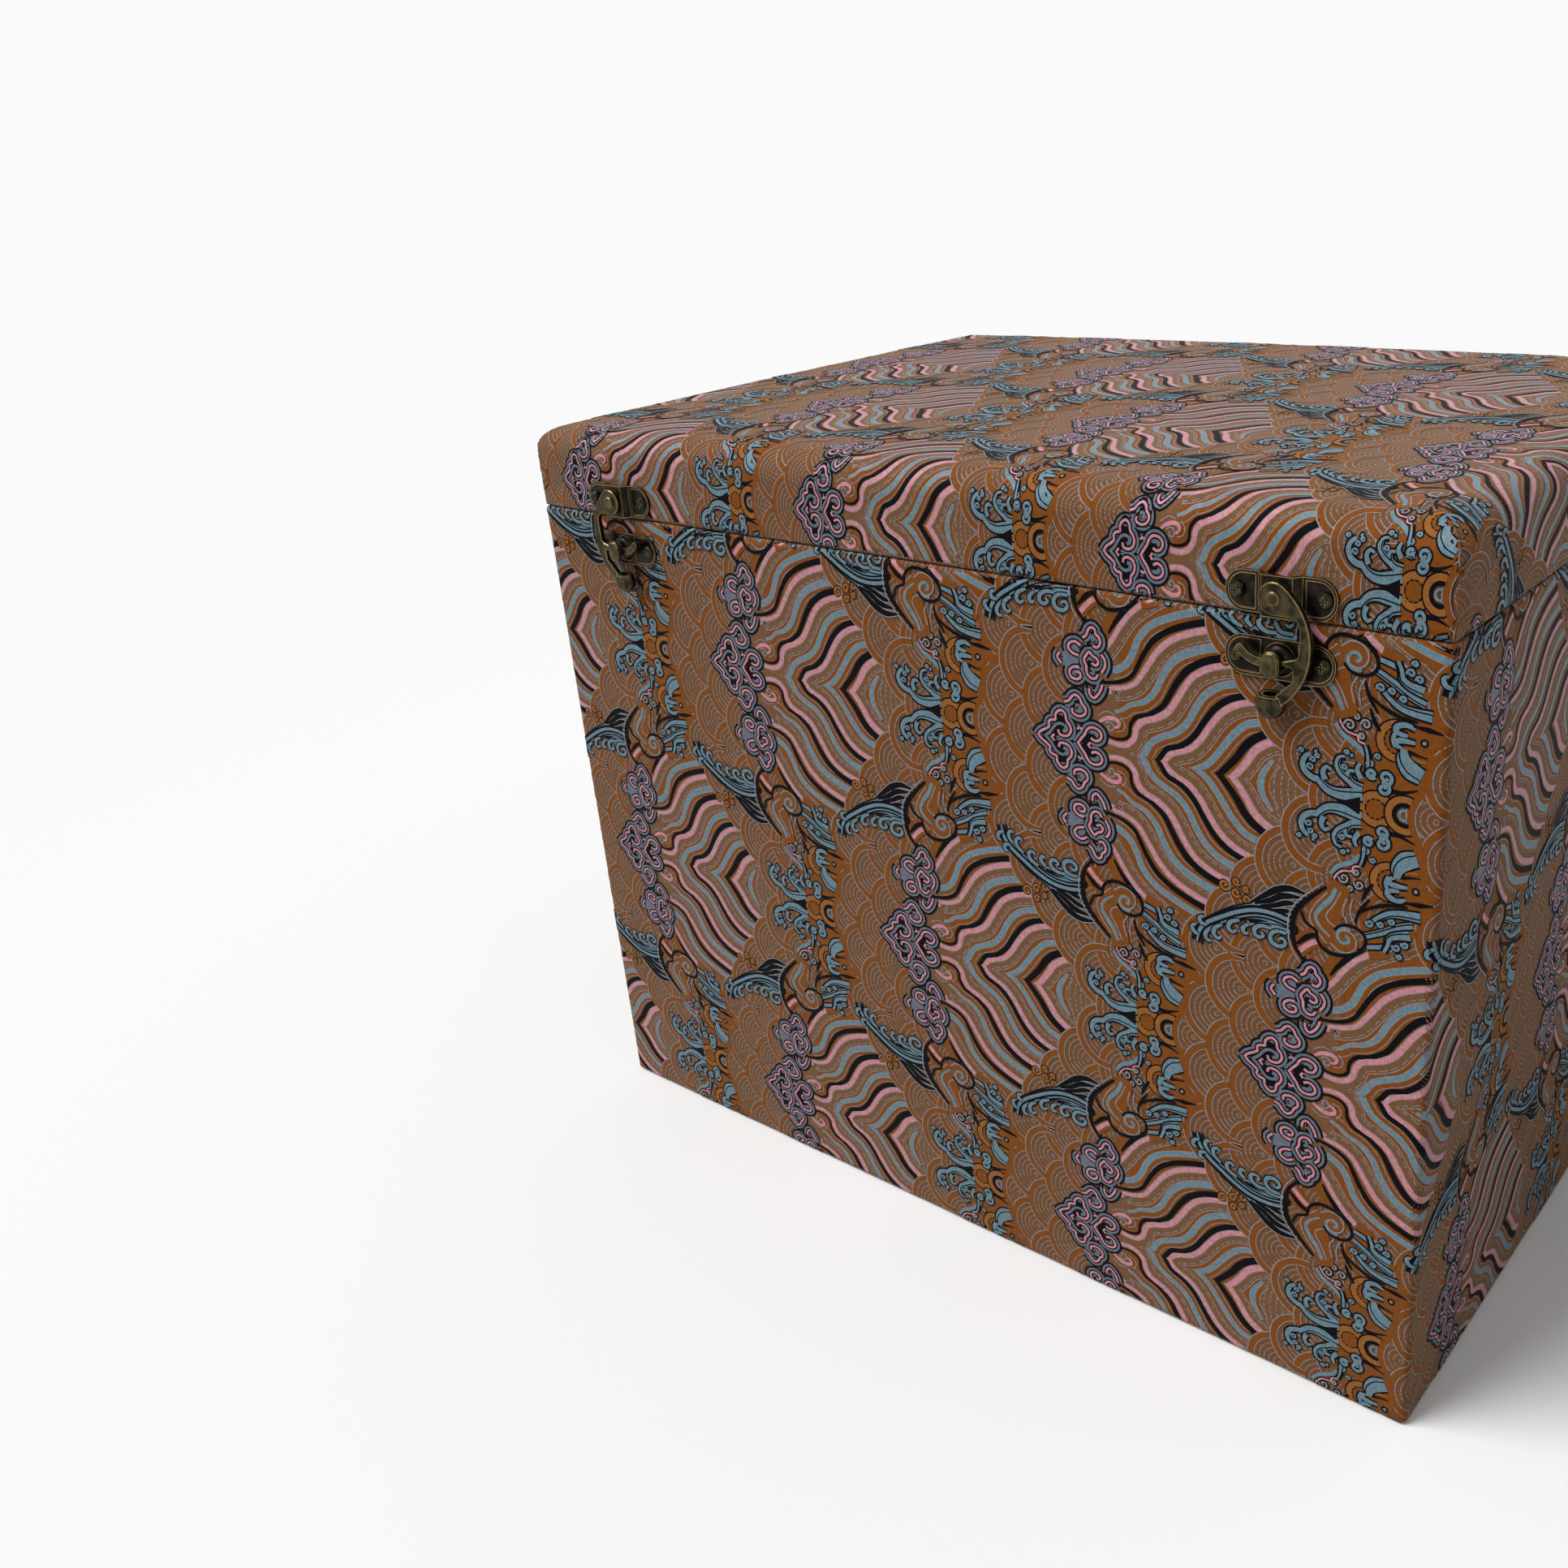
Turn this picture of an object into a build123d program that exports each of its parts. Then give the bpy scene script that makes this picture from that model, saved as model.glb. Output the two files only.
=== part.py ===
"""Brocade covered wooden box with a padded lid, rear butt hinges and two mirrored horn latches.

The origin is at the middle of the base, on the surface that the box stands on. X is the width,
the front is towards -Y, and Z is up. Lengths are in millimetres.
"""

import math
import os

from build123d import *

# Overall size of the covered box
box_width = 300.0
box_depth = 223.0
body_height = 212.9
seam_gap = 0.3
lid_height = 26.1

# Brocade cloth
cloth = 0.8
corner_radius = 1.6
base_turn_in = 15.0
rim_turn_in = 12.0
lid_turn_in = 9.0

# Boards and base sheet
wall_board = 6.0
bottom_board = 5.0
board_edge_radius = 1.5
lid_top_board = 5.0
lid_top_board_corner_radius = 4.0
lid_side_board = 5.0
base_sheet = 0.6
base_sheet_margin = 3.0

# Padded form of the lid
lid_edge_radius = 9.0
lid_crown_radius = 12000.0
top_wadding = 6.0
side_wadding = 1.2
wadding_clearance = 0.05

# Linings and cushions
lining = 2.0
lining_drop = 1.0
lining_edge_radius = 0.9
cushion_clearance = 0.5
cushion_draw_in = 2.5
cushion_corner_radius = 3.0
floor_cushion_height = 9.0
floor_cushion_crown_radius = 6000.0
floor_cushion_edge_radius = 2.6
lid_cushion_height = 4.0
lid_cushion_crown_radius = 12000.0
lid_cushion_edge_radius = 1.6
lid_lining_strip = 1.2

# Small pan head wood screws
screw_head_radius = 1.85
screw_head_edge = 0.35
screw_head_shoulder_radius = 1.5
screw_head_shoulder = 0.88
screw_head_height = 1.2
screw_head_flat_radius = 0.75
screw_shank_radius = 0.8
screw_point_radius = 0.1
screw_tip = 1.8
latch_screw_length = 6.2
hinge_screw_length = 5.2
pilot_clearance = 0.02
cross_length = 2.1
cross_width = 0.5
cross_depth = 0.55

# Rear butt hinges
hinge_inset = 55.0
leaf_width = 25.0
leaf_height = 16.0
leaf = 1.0
leaf_corner_radius = 1.5
leaf_screw_spacing = 16.0
leaf_screw_drop = 9.5
knuckle_radius = 2.2
knuckle_stand = 0.2
knuckle_gap = 0.25
middle_knuckle = 8.0
pin_radius = 1.0
pin_fit = 0.01
pin_running_fit = 0.05
pin_head_radius = 1.5
pin_head = 0.6

# Latches: plates
left_latch_inset = 38.3
right_latch_inset = 39.7
latch_plate_rise = 5.4
strike_plate_drop = 9.3
plate_length = 27.2
plate_width = 9.6
plate = 0.9
plate_corner_radius = 4.6
plate_rim = 0.8
plate_dish = 0.25
plate_screw_spacing = 21.2
bridge_foot = 10.6
bridge_crown = 7.6
bridge_rise = 2.9
bridge_wall_share = 0.7
dome_radius = 3.9
dome_flat_radius = 2.1
dome_rise = 2.7
dome_sheet = 0.8
dome_bulge_share = 0.3

# Latches: hook and its rivet, measured out from the cloth
hook_back = 3.0
hook = 1.5
hook_edge = 0.2
hook_head_radius = 3.8
hook_drop = 24.6
bow_centre_shares = (-0.329, -0.439)
bow_end_degrees = -57.0
# Corners of the hook's inner edge from its tail to under its head, and how each is rounded
inner_edge_shares = [
    (0.037, -0.907),
    (0.203, -0.745),
    (0.203, -0.620),
    (0.095, -0.606),
    (0.088, -0.572),
    (0.258, -0.520),
    (0.268, -0.155),
]
inner_edge_radii = [1.6, 0.6, 0.25, 0.3, 1.6, 2.6]
cup_offset = 0.75
cup_radius = 3.65
cup_half_depth = 1.8
cup_centre = 3.25
cup_wall = 0.75
cup_rim_rise = 2.3
cup_rim_degrees = 16.0
rivet_radius = 1.0
rivet_fit = 0.02
hook_running_fit = 0.05
rivet_head_radius = 1.75
rivet_head = 0.55
rivet_tail_radius = 1.6
rivet_tail = 0.4
hook_play = 0.05

# Latches: turning catch
post_radius = 1.1
post_running_fit = 0.05
post_flange_radius = 1.7
post_flange = 0.4
catch_washer = 0.3
catch_play = 0.05
catch_head_width = 4.4
catch_head_height = 6.3
catch_head_corner = 1.9
catch_head = 1.25
catch_head_chamfer = 0.45
catch_head_base = 4.6
lever = 1.15
lever_back = 2.85
lever_width = 1.9
lever_hub_radius = 1.75
lever_run = 3.0
lever_bend_radius = 6.7
lever_bend_degrees = 52.0

# One overrun for every cut
overrun = 1.0

# Heights and insides that follow
body_floor = base_sheet + cloth
board_top = body_height - cloth
inner_floor = body_floor + bottom_board
lid_bottom = body_height + seam_gap
lid_top = lid_bottom + lid_height
lid_board_bottom = lid_bottom + cloth
lid_board_inset = cloth + side_wadding
lid_top_board_top = lid_top - cloth - top_wadding
lid_ceiling = lid_top_board_top - lid_top_board
body_inside = cloth + wall_board
lid_inside = lid_board_inset + lid_side_board
hinge_axis_height = body_height + seam_gap / 2
hinge_axis_stand = knuckle_radius + knuckle_stand
hinge_places = {"left": hinge_inset - box_width / 2, "right": box_width / 2 - hinge_inset}
latch_places = {"left": left_latch_inset - box_width / 2, "right": box_width / 2 - right_latch_inset}
latch_plate_height = lid_bottom + latch_plate_rise
strike_plate_height = body_height - strike_plate_drop


def slab(inset_x, inset_y, low, high):
    """A plain block over the box's plan, drawn in on each side, between two heights."""
    width = box_width - 2 * inset_x
    depth = box_depth - 2 * inset_y
    return Pos(0, 0, low) * Box(width, depth, high - low, align=(Align.CENTER, Align.CENTER, Align.MIN))


def rounded_slab(inset, low, high):
    """The box's plan with rounded corners, drawn in all round, between two heights."""
    plan = RectangleRounded(box_width - 2 * inset, box_depth - 2 * inset, corner_radius - inset)
    return Pos(0, 0, low) * extrude(plan, high - low)


def turned(outline):
    """A solid turned about Z from a closed outline of radius and height."""
    return revolve(Plane.XZ * make_face(outline), Axis.Z)


def disc(radius, low, high):
    """A round bar about Z between two heights."""
    return Pos(0, 0, low) * Cylinder(radius, high - low, align=(Align.CENTER, Align.CENTER, Align.MIN))


def pan_screw(length):
    """A wood screw with its head on Z = 0 and its point down, with a cross recess."""
    outline = Polyline(
        (screw_head_flat_radius, screw_head_height),
        (0, screw_head_height),
        (0, -length),
        (screw_point_radius, -length),
        (screw_shank_radius, screw_tip - length),
        (screw_shank_radius, 0),
        (screw_head_radius, 0),
        (screw_head_radius, screw_head_edge),
        (screw_head_shoulder_radius, screw_head_shoulder),
        close=True,
    )
    screw = turned(outline)
    recess = Box(cross_length, cross_width, cross_depth) + Box(cross_width, cross_length, cross_depth)
    return screw - Pos(0, 0, screw_head_height - cross_depth / 2) * recess


def pilot(length):
    """The hole that a screw of this length leaves in what it goes through."""
    return disc(screw_shank_radius + pilot_clearance, -length - pilot_clearance, overrun)


def front_plane(x, height):
    """Plane on the front cloth: X to the right, Y up, Z out of the box."""
    return Plane(origin=(x, -box_depth / 2, height), x_dir=(1, 0, 0), z_dir=(0, -1, 0))


def back_plane(x, height):
    """Plane on the back cloth: X to the right as seen from behind, Y up, Z out of the box."""
    return Plane(origin=(x, box_depth / 2, height), x_dir=(-1, 0, 0), z_dir=(0, 1, 0))


def latch_plane(side, height):
    """Plane on the front cloth at one latch."""
    return front_plane(latch_places[side], height)


def handed(part, side):
    """Latch pieces are drawn for the right latch, and the left one is its mirror image."""
    return part if side == "right" else mirror(part, Plane.YZ)


def pair_across(part, spacing, y):
    """The same small piece at both ends of a plate, as separate solids."""
    return [Pos(sign * spacing / 2, y, 0) * part for sign in (-1, 1)]


def screws_on(plane, part, spacing, y, stand):
    """Two screws or pilot holes on a plane, standing off it by the plate they hold."""
    return [plane * Pos(0, 0, stand) * piece for piece in pair_across(part, spacing, y)]


def pilots_in_lid():
    """Pilot holes of the latch plates and of the upper hinge leaves."""
    holes = []
    for side in latch_places:
        plane = latch_plane(side, latch_plate_height)
        holes += screws_on(plane, pilot(latch_screw_length), plate_screw_spacing, 0, plate)
    for x in hinge_places.values():
        plane = back_plane(x, hinge_axis_height)
        holes += screws_on(plane, pilot(hinge_screw_length), leaf_screw_spacing, leaf_screw_drop, leaf)
    return holes


def pilots_in_body():
    """Pilot holes of the strike plates and of the lower hinge leaves."""
    holes = []
    for side in latch_places:
        plane = latch_plane(side, strike_plate_height)
        holes += screws_on(plane, pilot(latch_screw_length), plate_screw_spacing, 0, plate)
    for x in hinge_places.values():
        plane = back_plane(x, hinge_axis_height)
        holes += screws_on(plane, pilot(hinge_screw_length), leaf_screw_spacing, -leaf_screw_drop, leaf)
    return holes


def drilled(part, holes):
    """The part with every pilot hole that reaches it."""
    for hole in holes:
        part = part - hole
    return part


def wall_boards(inset, thickness, low, high):
    """Four boards round the plan: front and back run through, left and right fit between them."""
    long_inset = inset + thickness
    frame = slab(inset, inset, low, high)
    across = slab(inset, long_inset, low, high)
    corner_edges = frame.edges().filter_by(Axis.Z)
    frame = fillet(corner_edges, board_edge_radius)
    through = frame - across
    front = through & Pos(0, -box_depth / 2, low) * Box(box_width, box_depth, 2 * (high - low))
    back = through & Pos(0, box_depth / 2, low) * Box(box_width, box_depth, 2 * (high - low))
    between = across - slab(long_inset, 0, low, high)
    left = between & Pos(-box_width / 2, 0, low) * Box(box_width, box_depth, 2 * (high - low))
    right = between & Pos(box_width / 2, 0, low) * Box(box_width, box_depth, 2 * (high - low))
    return {"front": front, "back": back, "left": left, "right": right}


def crown_ball(top, radius):
    """A great ball whose topmost point is at this height, turned so that its seam is elsewhere."""
    return Pos(0, 0, top - radius) * Rot(90, 0, 0) * Sphere(radius)


def cushion(width, depth, height, crown_radius, edge_radius):
    """A pad lying on Z = 0: sides drawn in between its round corners, a crowned top, a soft edge."""
    x = width / 2
    y = depth / 2
    front = ThreePointArc((-x, -y), (0, cushion_draw_in - y), (x, -y))
    right = ThreePointArc((x, -y), (x - cushion_draw_in, 0), (x, y))
    back = ThreePointArc((x, y), (0, y - cushion_draw_in), (-x, y))
    left = ThreePointArc((-x, y), (cushion_draw_in - x, 0), (-x, -y))
    plan = make_face(front + right + back + left)
    plan = fillet(plan.vertices(), cushion_corner_radius)
    pad = extrude(plan, height)
    pad = pad & crown_ball(height, crown_radius)
    top = pad.faces().sort_by(Axis.Z)[-1]
    return fillet(top.edges(), edge_radius)


def body_skin():
    """Brocade round the walls, turned in over the rim and under the base."""
    skin = rounded_slab(0, base_sheet, body_height)
    skin = skin - rounded_slab(cloth, body_floor, board_top)
    skin = skin - slab(cloth + base_turn_in, cloth + base_turn_in, 0, body_height / 2)
    flap_inset = body_inside + cloth
    skin = skin - slab(flap_inset, flap_inset, body_height / 2, body_height + overrun)
    flap = slab(body_inside, body_inside, board_top - rim_turn_in, board_top + cloth / 2)
    flap = flap - slab(flap_inset, flap_inset, 0, body_height + overrun)
    return skin + flap


def lid_form(inset, low):
    """The lid's outside, drawn in all round: crowned top, soft top edges and sharp flaps."""
    top = lid_top - inset
    block = slab(inset, inset, low, top)
    block = block & crown_ball(top, lid_crown_radius)
    top_face = block.faces().sort_by(Axis.Z)[-1]
    block = fillet(top_face.edges(), lid_edge_radius - inset)
    return block & rounded_slab(min(inset, cloth), low - overrun, top + overrun)


def lid_skin():
    """Brocade over the lid, turned in under its rim."""
    skin = lid_form(0, lid_bottom) - lid_form(cloth, lid_board_bottom)
    flap_inset = lid_inside + cloth
    skin = skin - slab(flap_inset, flap_inset, lid_bottom - overrun, lid_board_bottom + overrun)
    flap = slab(lid_inside, lid_inside, lid_bottom + cloth / 2, lid_board_bottom + lid_turn_in)
    flap = flap - slab(flap_inset, flap_inset, lid_bottom - overrun, lid_top)
    return skin + flap


def lid_top_panel():
    """The lid's top board, with its corners rounded so that they stay under the padding."""
    panel = slab(lid_board_inset, lid_board_inset, lid_ceiling, lid_top_board_top)
    return fillet(panel.edges().filter_by(Axis.Z), lid_top_board_corner_radius)


def lid_waddings():
    """Foam sheet on the lid's top board, and the felt that wraps the lid's side boards."""
    wadding = lid_form(cloth + wadding_clearance, lid_board_bottom)
    foam = wadding & slab(0, 0, lid_top_board_top, lid_top + overrun)
    felt = wadding & slab(0, 0, lid_board_bottom, lid_top_board_top)
    felt = felt - slab(lid_board_inset, lid_board_inset, lid_board_bottom - overrun, lid_ceiling)
    return foam, felt - lid_top_panel()


def leaf_plate(sign):
    """One hinge leaf with its screw holes, above the pin (+1) or below it (-1)."""
    plan = Pos(0, sign * leaf_height / 2) * RectangleRounded(leaf_width, leaf_height, leaf_corner_radius)
    inner = Pos(0, sign * leaf_height / 4) * Rectangle(leaf_width, leaf_height / 2)
    plate_solid = extrude(plan + inner, leaf)
    for hole in pair_across(pilot(leaf + overrun), leaf_screw_spacing, sign * leaf_screw_drop):
        plate_solid = plate_solid - Pos(0, 0, leaf) * hole
    return plate_solid


def barrel(x_low, x_high, bore):
    """A knuckle along X about the pin, with its bore."""
    tube = Circle(knuckle_radius) - Circle(bore)
    return Pos(x_low, 0, hinge_axis_stand) * extrude(Plane.YZ * tube, x_high - x_low)


def knuckle_space(x_low, x_high):
    """The room that the other leaf's knuckle needs."""
    reach = knuckle_radius + knuckle_gap
    length = x_high - x_low
    return Pos((x_low + x_high) / 2, 0, 0) * Box(length, 2 * reach, 2 * (reach + hinge_axis_stand))


def pin_space(fit):
    """The room that the pin takes right through the hinge, with this clearance round it."""
    bore = extrude(Plane.YZ * Circle(pin_radius + fit), leaf_width)
    return Pos(-leaf_width / 2, 0, hinge_axis_stand) * bore


def hinge_leaves():
    """Lower leaf with the two outer knuckles, and upper leaf with the middle one."""
    half = leaf_width / 2
    middle = middle_knuckle / 2
    lower = leaf_plate(-1) - knuckle_space(-middle - knuckle_gap, middle + knuckle_gap)
    upper = leaf_plate(1)
    for low, high in ((-half, -middle - knuckle_gap), (middle + knuckle_gap, half)):
        lower = lower + barrel(low, high, pin_radius + pin_fit)
    upper = upper - knuckle_space(-half - overrun, -middle)
    upper = upper - knuckle_space(middle, half + overrun)
    upper = upper + barrel(-middle, middle, pin_radius + pin_running_fit)
    return lower - pin_space(pin_fit), upper - pin_space(pin_running_fit)


def hinge_pin():
    """Pin through the knuckles, with a button head at each end."""
    half = leaf_width / 2
    pin = pin_space(0)
    for start in (-half - pin_head, half):
        pin = pin + Pos(start, 0, hinge_axis_stand) * extrude(Plane.YZ * Circle(pin_head_radius), pin_head)
    return pin


def plate_outline(margin):
    """A latch plate's rounded outline, drawn in by a margin."""
    return RectangleRounded(plate_length - 2 * margin, plate_width - 2 * margin, plate_corner_radius - margin)


def dished(plate_solid, keep_width):
    """The plate with its two ends pressed in behind a raised rim."""
    pocket = extrude(plate_outline(plate_rim), plate_dish + overrun)
    pocket = pocket - Box(keep_width, 2 * plate_width, 2 * (plate_dish + overrun) + overrun)
    return plate_solid - Pos(0, 0, plate - plate_dish) * pocket


def plate_screw_holes(plate_solid):
    """The plate with a hole for each of its two screws."""
    for hole in pair_across(pilot(plate + overrun), plate_screw_spacing, 0):
        plate_solid = plate_solid - Pos(0, 0, plate) * hole
    return plate_solid


def latch_plate():
    """Upper plate: flat dished ends and a bridge pressed out between them, open above and below."""
    end = plate_length / 2
    foot = bridge_foot / 2
    crown = bridge_crown / 2
    wall = plate * bridge_wall_share
    section = Polyline(
        (-end, 0),
        (wall - foot, 0),
        (wall - crown, bridge_rise - plate),
        (crown - wall, bridge_rise - plate),
        (foot - wall, 0),
        (end, 0),
        (end, plate),
        (foot, plate),
        (crown, bridge_rise),
        (-crown, bridge_rise),
        (-foot, plate),
        (-end, plate),
        close=True,
    )
    strip = Pos(0, plate_width / 2, 0) * extrude(Plane.XZ * make_face(section), plate_width)
    strip = strip & Pos(0, 0, -overrun) * extrude(plate_outline(0), bridge_rise + 2 * overrun)
    strip = dished(strip, bridge_foot + 2 * plate_rim)
    return plate_screw_holes(strip) - disc(rivet_radius + rivet_fit, 0, bridge_rise + overrun)


def dome_outline(radius, flat, rise, foot):
    """Half section of a domed turret: a flat top that rounds down to its foot."""
    side = radius - flat
    bulge = (flat + side * (1 - dome_bulge_share), foot + (rise - foot) * (1 - dome_bulge_share))
    top = Polyline((radius, foot), (radius, 0), (0, 0), (0, rise), (flat, rise))
    return top + ThreePointArc((flat, rise), bulge, (radius, foot))


def strike_plate():
    """Lower plate: flat dished ends and a hollow dome that carries the catch's post."""
    solid = dished(extrude(plate_outline(0), plate), 2 * (dome_radius + plate_rim))
    solid = solid + turned(dome_outline(dome_radius, dome_flat_radius, dome_rise, plate))
    hollow = dome_outline(dome_radius - dome_sheet, dome_flat_radius, dome_rise - dome_sheet, plate / 2)
    solid = solid - turned(hollow)
    return plate_screw_holes(solid) - disc(post_radius + post_running_fit, 0, dome_rise + overrun)


def hook_point(share):
    """A point given in shares of the hook's drop, from its rivet."""
    return (share[0] * hook_drop, share[1] * hook_drop)


def hook_outline():
    """Round head, bow, tail and tooth of the hook, about its rivet."""
    centre_x, centre_y = hook_point(bow_centre_shares)
    head_angle = math.atan2(-centre_y, -centre_x)
    bow_radius = math.hypot(centre_x, centre_y) + hook_head_radius
    end_angle = math.radians(bow_end_degrees)
    bow_points = []
    for angle in (head_angle, (head_angle + end_angle) / 2, end_angle):
        bow_points.append((centre_x + bow_radius * math.cos(angle), centre_y + bow_radius * math.sin(angle)))
    under_head = (0, -hook_head_radius)
    corners = [hook_point(share) for share in inner_edge_shares]
    corners[-1] = (corners[-1][0], -hook_head_radius)
    outline = ThreePointArc(*bow_points)
    outline += Line(bow_points[2], corners[0])
    outline += FilletPolyline(*corners, under_head, radius=inner_edge_radii)
    outline += ThreePointArc(under_head, (-hook_head_radius, 0), bow_points[0])
    return make_face(outline)


def rounded_button(radius, half_depth):
    """A disc about Z, flat on both faces, with a fully rounded rim."""
    flat = radius - half_depth
    outline = Polyline((flat, half_depth), (0, half_depth), (0, -half_depth), (flat, -half_depth))
    rim = ThreePointArc((flat, -half_depth), (radius, 0), (flat, half_depth))
    return turned(outline + rim)


def thumb_cup():
    """Rolled tail of the hook: a hollow button, open at the top, that a thumb lifts."""
    outer = rounded_button(cup_radius, cup_half_depth)
    inner = rounded_button(cup_radius - cup_wall, cup_half_depth - cup_wall)
    lip = Box(
        4 * cup_radius,
        2 * cup_radius,
        4 * cup_half_depth,
        align=(Align.CENTER, Align.MIN, Align.CENTER),
    )
    lip = Pos(0, cup_rim_rise, 0) * Rot(cup_rim_degrees, 0, 0) * lip
    return Pos(-cup_offset, -hook_drop, cup_centre) * (outer - inner - lip)


def hook_solid():
    """The hook: a plate cut to the outline with a softened front edge, and its thumb cup."""
    blade = extrude(hook_outline(), hook)
    front = blade.faces().sort_by(Axis.Z)[-1]
    blade = chamfer(front.edges(), hook_edge)
    blade = blade - disc(rivet_radius + hook_running_fit, -overrun, hook + overrun)
    return Pos(0, 0, hook_back) * blade + thumb_cup()


def latch_rivet():
    """Rivet through the bridge and the hook, headed on both ends."""
    front = hook_back + hook + hook_play
    back = bridge_rise - plate
    outline = Polyline(
        (0, back - rivet_tail),
        (rivet_tail_radius, back - rivet_tail),
        (rivet_tail_radius, back),
        (rivet_radius, back),
        (rivet_radius, front),
        (rivet_head_radius, front),
        (rivet_head_radius, front + rivet_head / 2),
    )
    shoulder = rivet_head_radius - rivet_head / 2
    cap = Polyline(
        (rivet_head_radius, front + rivet_head / 2),
        (shoulder, front + rivet_head),
        (0, front + rivet_head),
        (0, back - rivet_tail),
    )
    return turned(outline + cap)


def catch_post():
    """Post of the catch: a flange inside the dome and the long head that covers the tooth."""
    top = dome_rise - dome_sheet - catch_washer - catch_play
    post = disc(post_radius, top - post_flange, catch_head_base + catch_head / 2)
    post = post + disc(post_flange_radius, top - post_flange, top)
    head = extrude(RectangleRounded(catch_head_width, catch_head_height, catch_head_corner), catch_head)
    front = head.faces().sort_by(Axis.Z)[-1]
    head = chamfer(front.edges(), catch_head_chamfer)
    return post + Pos(0, 0, catch_head_base) * head


def catch_washer_ring():
    """Spring washer between the dome and the post's flange."""
    top = dome_rise - dome_sheet
    hole = disc(post_radius + post_running_fit, 0, dome_rise)
    return disc(post_flange_radius, top - catch_washer, top) - hole


def catch_lever():
    """Bent lever of the catch, on the post under its head."""
    run = Line((0, 0), (-lever_run, 0))
    bend = JernArc(
        start=(-lever_run, 0),
        tangent=(-1, 0),
        radius=lever_bend_radius,
        arc_size=-lever_bend_degrees,
    )
    plan = trace(run + bend, line_width=lever_width)
    plan = plan + Circle(lever_hub_radius)
    plan = plan + Pos(*(bend @ 1)) * Circle(lever_width / 2)
    bar = Pos(0, 0, lever_back) * extrude(plan, lever)
    spacer = disc(lever_hub_radius, lever_back, catch_head_base)
    return bar + spacer - disc(post_radius + rivet_fit, 0, catch_head_base + overrun)


def build_body():
    """Base sheet, boards, brocade, linings and cushion of the case."""
    holes = pilots_in_body()
    pieces = {"base_sheet": slab(base_sheet_margin, base_sheet_margin, 0, base_sheet)}
    pieces["bottom_board"] = slab(body_inside, body_inside, body_floor, inner_floor)
    for side, board in wall_boards(cloth, wall_board, body_floor, board_top).items():
        pieces[side + "_board"] = drilled(board, holes)
    pieces["body_brocade"] = drilled(body_skin(), holes)
    lining_inset = body_inside + cloth
    lining_top = board_top - lining_drop
    frame = wall_linings(lining_inset, lining, inner_floor, lining_top)
    for side, panel in frame.items():
        pieces[side + "_lining"] = panel
    room = 2 * (lining_inset + lining + cushion_clearance)
    pad = cushion(
        box_width - room,
        box_depth - room,
        floor_cushion_height,
        floor_cushion_crown_radius,
        floor_cushion_edge_radius,
    )
    pieces["floor_cushion"] = Pos(0, 0, inner_floor) * pad
    return pieces


def wall_linings(inset, thickness, low, high):
    """Padded card linings on the four walls, with a soft inner top edge."""
    panels = {}
    inner_x = box_width / 2 - inset
    inner_y = box_depth / 2 - inset
    rise = high - low
    sizes = {
        "front": (2 * inner_x, thickness, 0, thickness / 2 - inner_y),
        "back": (2 * inner_x, thickness, 0, inner_y - thickness / 2),
        "left": (thickness, 2 * (inner_y - thickness), thickness / 2 - inner_x, 0),
        "right": (thickness, 2 * (inner_y - thickness), inner_x - thickness / 2, 0),
    }
    for side, (width, depth, x, y) in sizes.items():
        panel = Pos(x, y, low + rise / 2) * Box(width, depth, rise)
        long_axis = Axis.X if side in ("front", "back") else Axis.Y
        across = Axis.Y if side in ("front", "back") else Axis.X
        top_edges = panel.edges().filter_by(long_axis).group_by(Axis.Z)[-1].sort_by(across)
        inner_edge = top_edges[-1] if side in ("front", "left") else top_edges[0]
        panels[side] = fillet(inner_edge, lining_edge_radius)
    return panels


def build_lid():
    """Boards, wadding, brocade and linings of the lid."""
    holes = pilots_in_lid()
    pieces = {"lid_top_board": lid_top_panel()}
    for side, board in wall_boards(lid_board_inset, lid_side_board, lid_board_bottom, lid_ceiling).items():
        pieces["lid_" + side + "_board"] = drilled(board, holes)
    foam, felt = lid_waddings()
    pieces["lid_top_wadding"] = foam
    pieces["lid_side_wadding"] = drilled(felt, holes)
    pieces["lid_brocade"] = drilled(lid_skin(), holes)
    strip_inset = lid_inside + cloth
    strip_low = lid_board_bottom + lining_drop
    strip_inner = strip_inset + lid_lining_strip
    strip = slab(strip_inset, strip_inset, strip_low, lid_ceiling)
    pieces["lid_lining_strip"] = strip - slab(strip_inner, strip_inner, lid_bottom, lid_top)
    room = 2 * (strip_inner + cushion_clearance)
    pad = cushion(
        box_width - room,
        box_depth - room,
        lid_cushion_height,
        lid_cushion_crown_radius,
        lid_cushion_edge_radius,
    )
    pieces["lid_cushion"] = Pos(0, 0, lid_ceiling) * Rot(180, 0, 0) * pad
    return pieces


def build_hinge(side):
    """One butt hinge on the back, with its pin and screws."""
    plane = back_plane(hinge_places[side], hinge_axis_height)
    lower, upper = hinge_leaves()
    screw = pan_screw(hinge_screw_length)
    low_screws = screws_on(plane, screw, leaf_screw_spacing, -leaf_screw_drop, leaf)
    high_screws = screws_on(plane, screw, leaf_screw_spacing, leaf_screw_drop, leaf)
    return {
        side + "_hinge_lower_leaf": plane * lower,
        side + "_hinge_upper_leaf": plane * upper,
        side + "_hinge_pin": plane * hinge_pin(),
        side + "_hinge_lower_screws": Compound(children=low_screws),
        side + "_hinge_upper_screws": Compound(children=high_screws),
    }


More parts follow.
